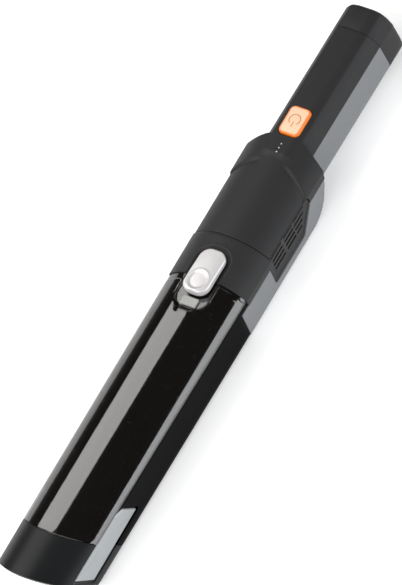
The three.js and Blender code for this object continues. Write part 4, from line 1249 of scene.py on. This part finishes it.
# ---------------------------------------------------------------- scene
def make_camera():
    data = bpy.data.cameras.new("camera")
    data.sensor_width = 36
    data.lens = 600
    data.clip_end = 50
    camera = bpy.data.objects.new("camera", data)
    bpy.context.scene.collection.objects.link(camera)
    away = Vector((-0.3616, -0.4591, 0.8115)).normalized()
    right = Vector((0.4801, -0.8376, -0.2599))
    right = (right - away * right.dot(away)).normalized()
    up = away.cross(right)
    target = Vector((0.0075, 0.0079, 0.0245))
    turn = Matrix((right, up, away)).transposed().to_4x4()
    camera.matrix_world = Matrix.Translation(target + away * 6.432) @ turn
    bpy.context.scene.camera = camera


def softbox(name, direction, distance, width, height, radiance, colour=(1, 1, 1), slide=0.0):
    """A rectangular light over the cup. Its width lies along the body, and slide moves it that way."""
    target = Vector((-0.06, 0, 0.045))
    away = Vector(direction).normalized()
    along = Vector((1, 0, 0))
    along = (along - away * along.dot(away)).normalized()
    up = away.cross(along)
    data = bpy.data.lights.new(name, "AREA")
    data.shape = "RECTANGLE"
    data.size = width
    data.size_y = height
    data.energy = radiance * width * height * math.pi
    data.color = colour
    light = bpy.data.objects.new(name, data)
    bpy.context.scene.collection.objects.link(light)
    place = Matrix.Translation(target + away * distance + along * slide)
    light.matrix_world = place @ Matrix((along, up, away)).transposed().to_4x4()


def make_studio():
    softbox("crown_box", (0.36, 0.58, 0.70), 1.3, 1.7, 0.95, 3.6, (1.0, 0.975, 0.95), slide=-0.74)
    softbox("side_box", (0.36, -0.88, 0.30), 1.3, 1.7, 0.62, 3.6, (0.96, 0.98, 1.0))
    softbox("key_box", (-0.75, -0.1, 0.75), 1.8, 1.6, 1.6, 3.4)
    world = bpy.data.worlds.new("studio")
    world.use_nodes = True
    back = world.node_tree.nodes["Background"]
    back.inputs["Color"].default_value = (1, 1, 1, 1)
    back.inputs["Strength"].default_value = 0.05
    bpy.context.scene.world = world
    bpy.context.scene.view_settings.view_transform = "Standard"


def make_floor():
    finish = Finish("studio_floor", Roughness=0.9)
    tint = finish.noise(0.6, 2.0)
    finish.set("Base Color", finish.blend((0.9, 0.9, 0.9), (0.93, 0.93, 0.93), tint))
    finish.set("Emission Color", (1, 1, 1))
    finish.set("Emission Strength", 0.35)
    half = 6.0 / METRES
    floor = from_faces(
        "studio_floor",
        [(-half, -half, -0.05), (half, -half, -0.05), (half, half, -0.05), (-half, half, -0.05)],
        [(0, 1, 2, 3)],
    )
    floor.data.materials.append(finish.material)


def dress_cad_nodes():
    """Every CAD node that still shows gets the finish of its own slot."""
    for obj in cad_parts.values():
        for place in obj.material_slots:
            name = place.material.name.split(".")[0]
            if name in FINISHES:
                place.material = FINISHES[name]


make_camera()
make_studio()
make_floor()
FINISHES["orange_mark"] = moulded("orange_mark", tone(205, 130, 70), 0.4, 0.00001, 0.02).material
dress_cad_nodes()
make_nozzle()
make_cup()
make_tray()
make_lamps()
make_collar()
make_release_button()
make_spigot()
make_catch()
make_upper_shell()
make_lower_shell()
make_vents()
make_power_button()
make_end_cap()
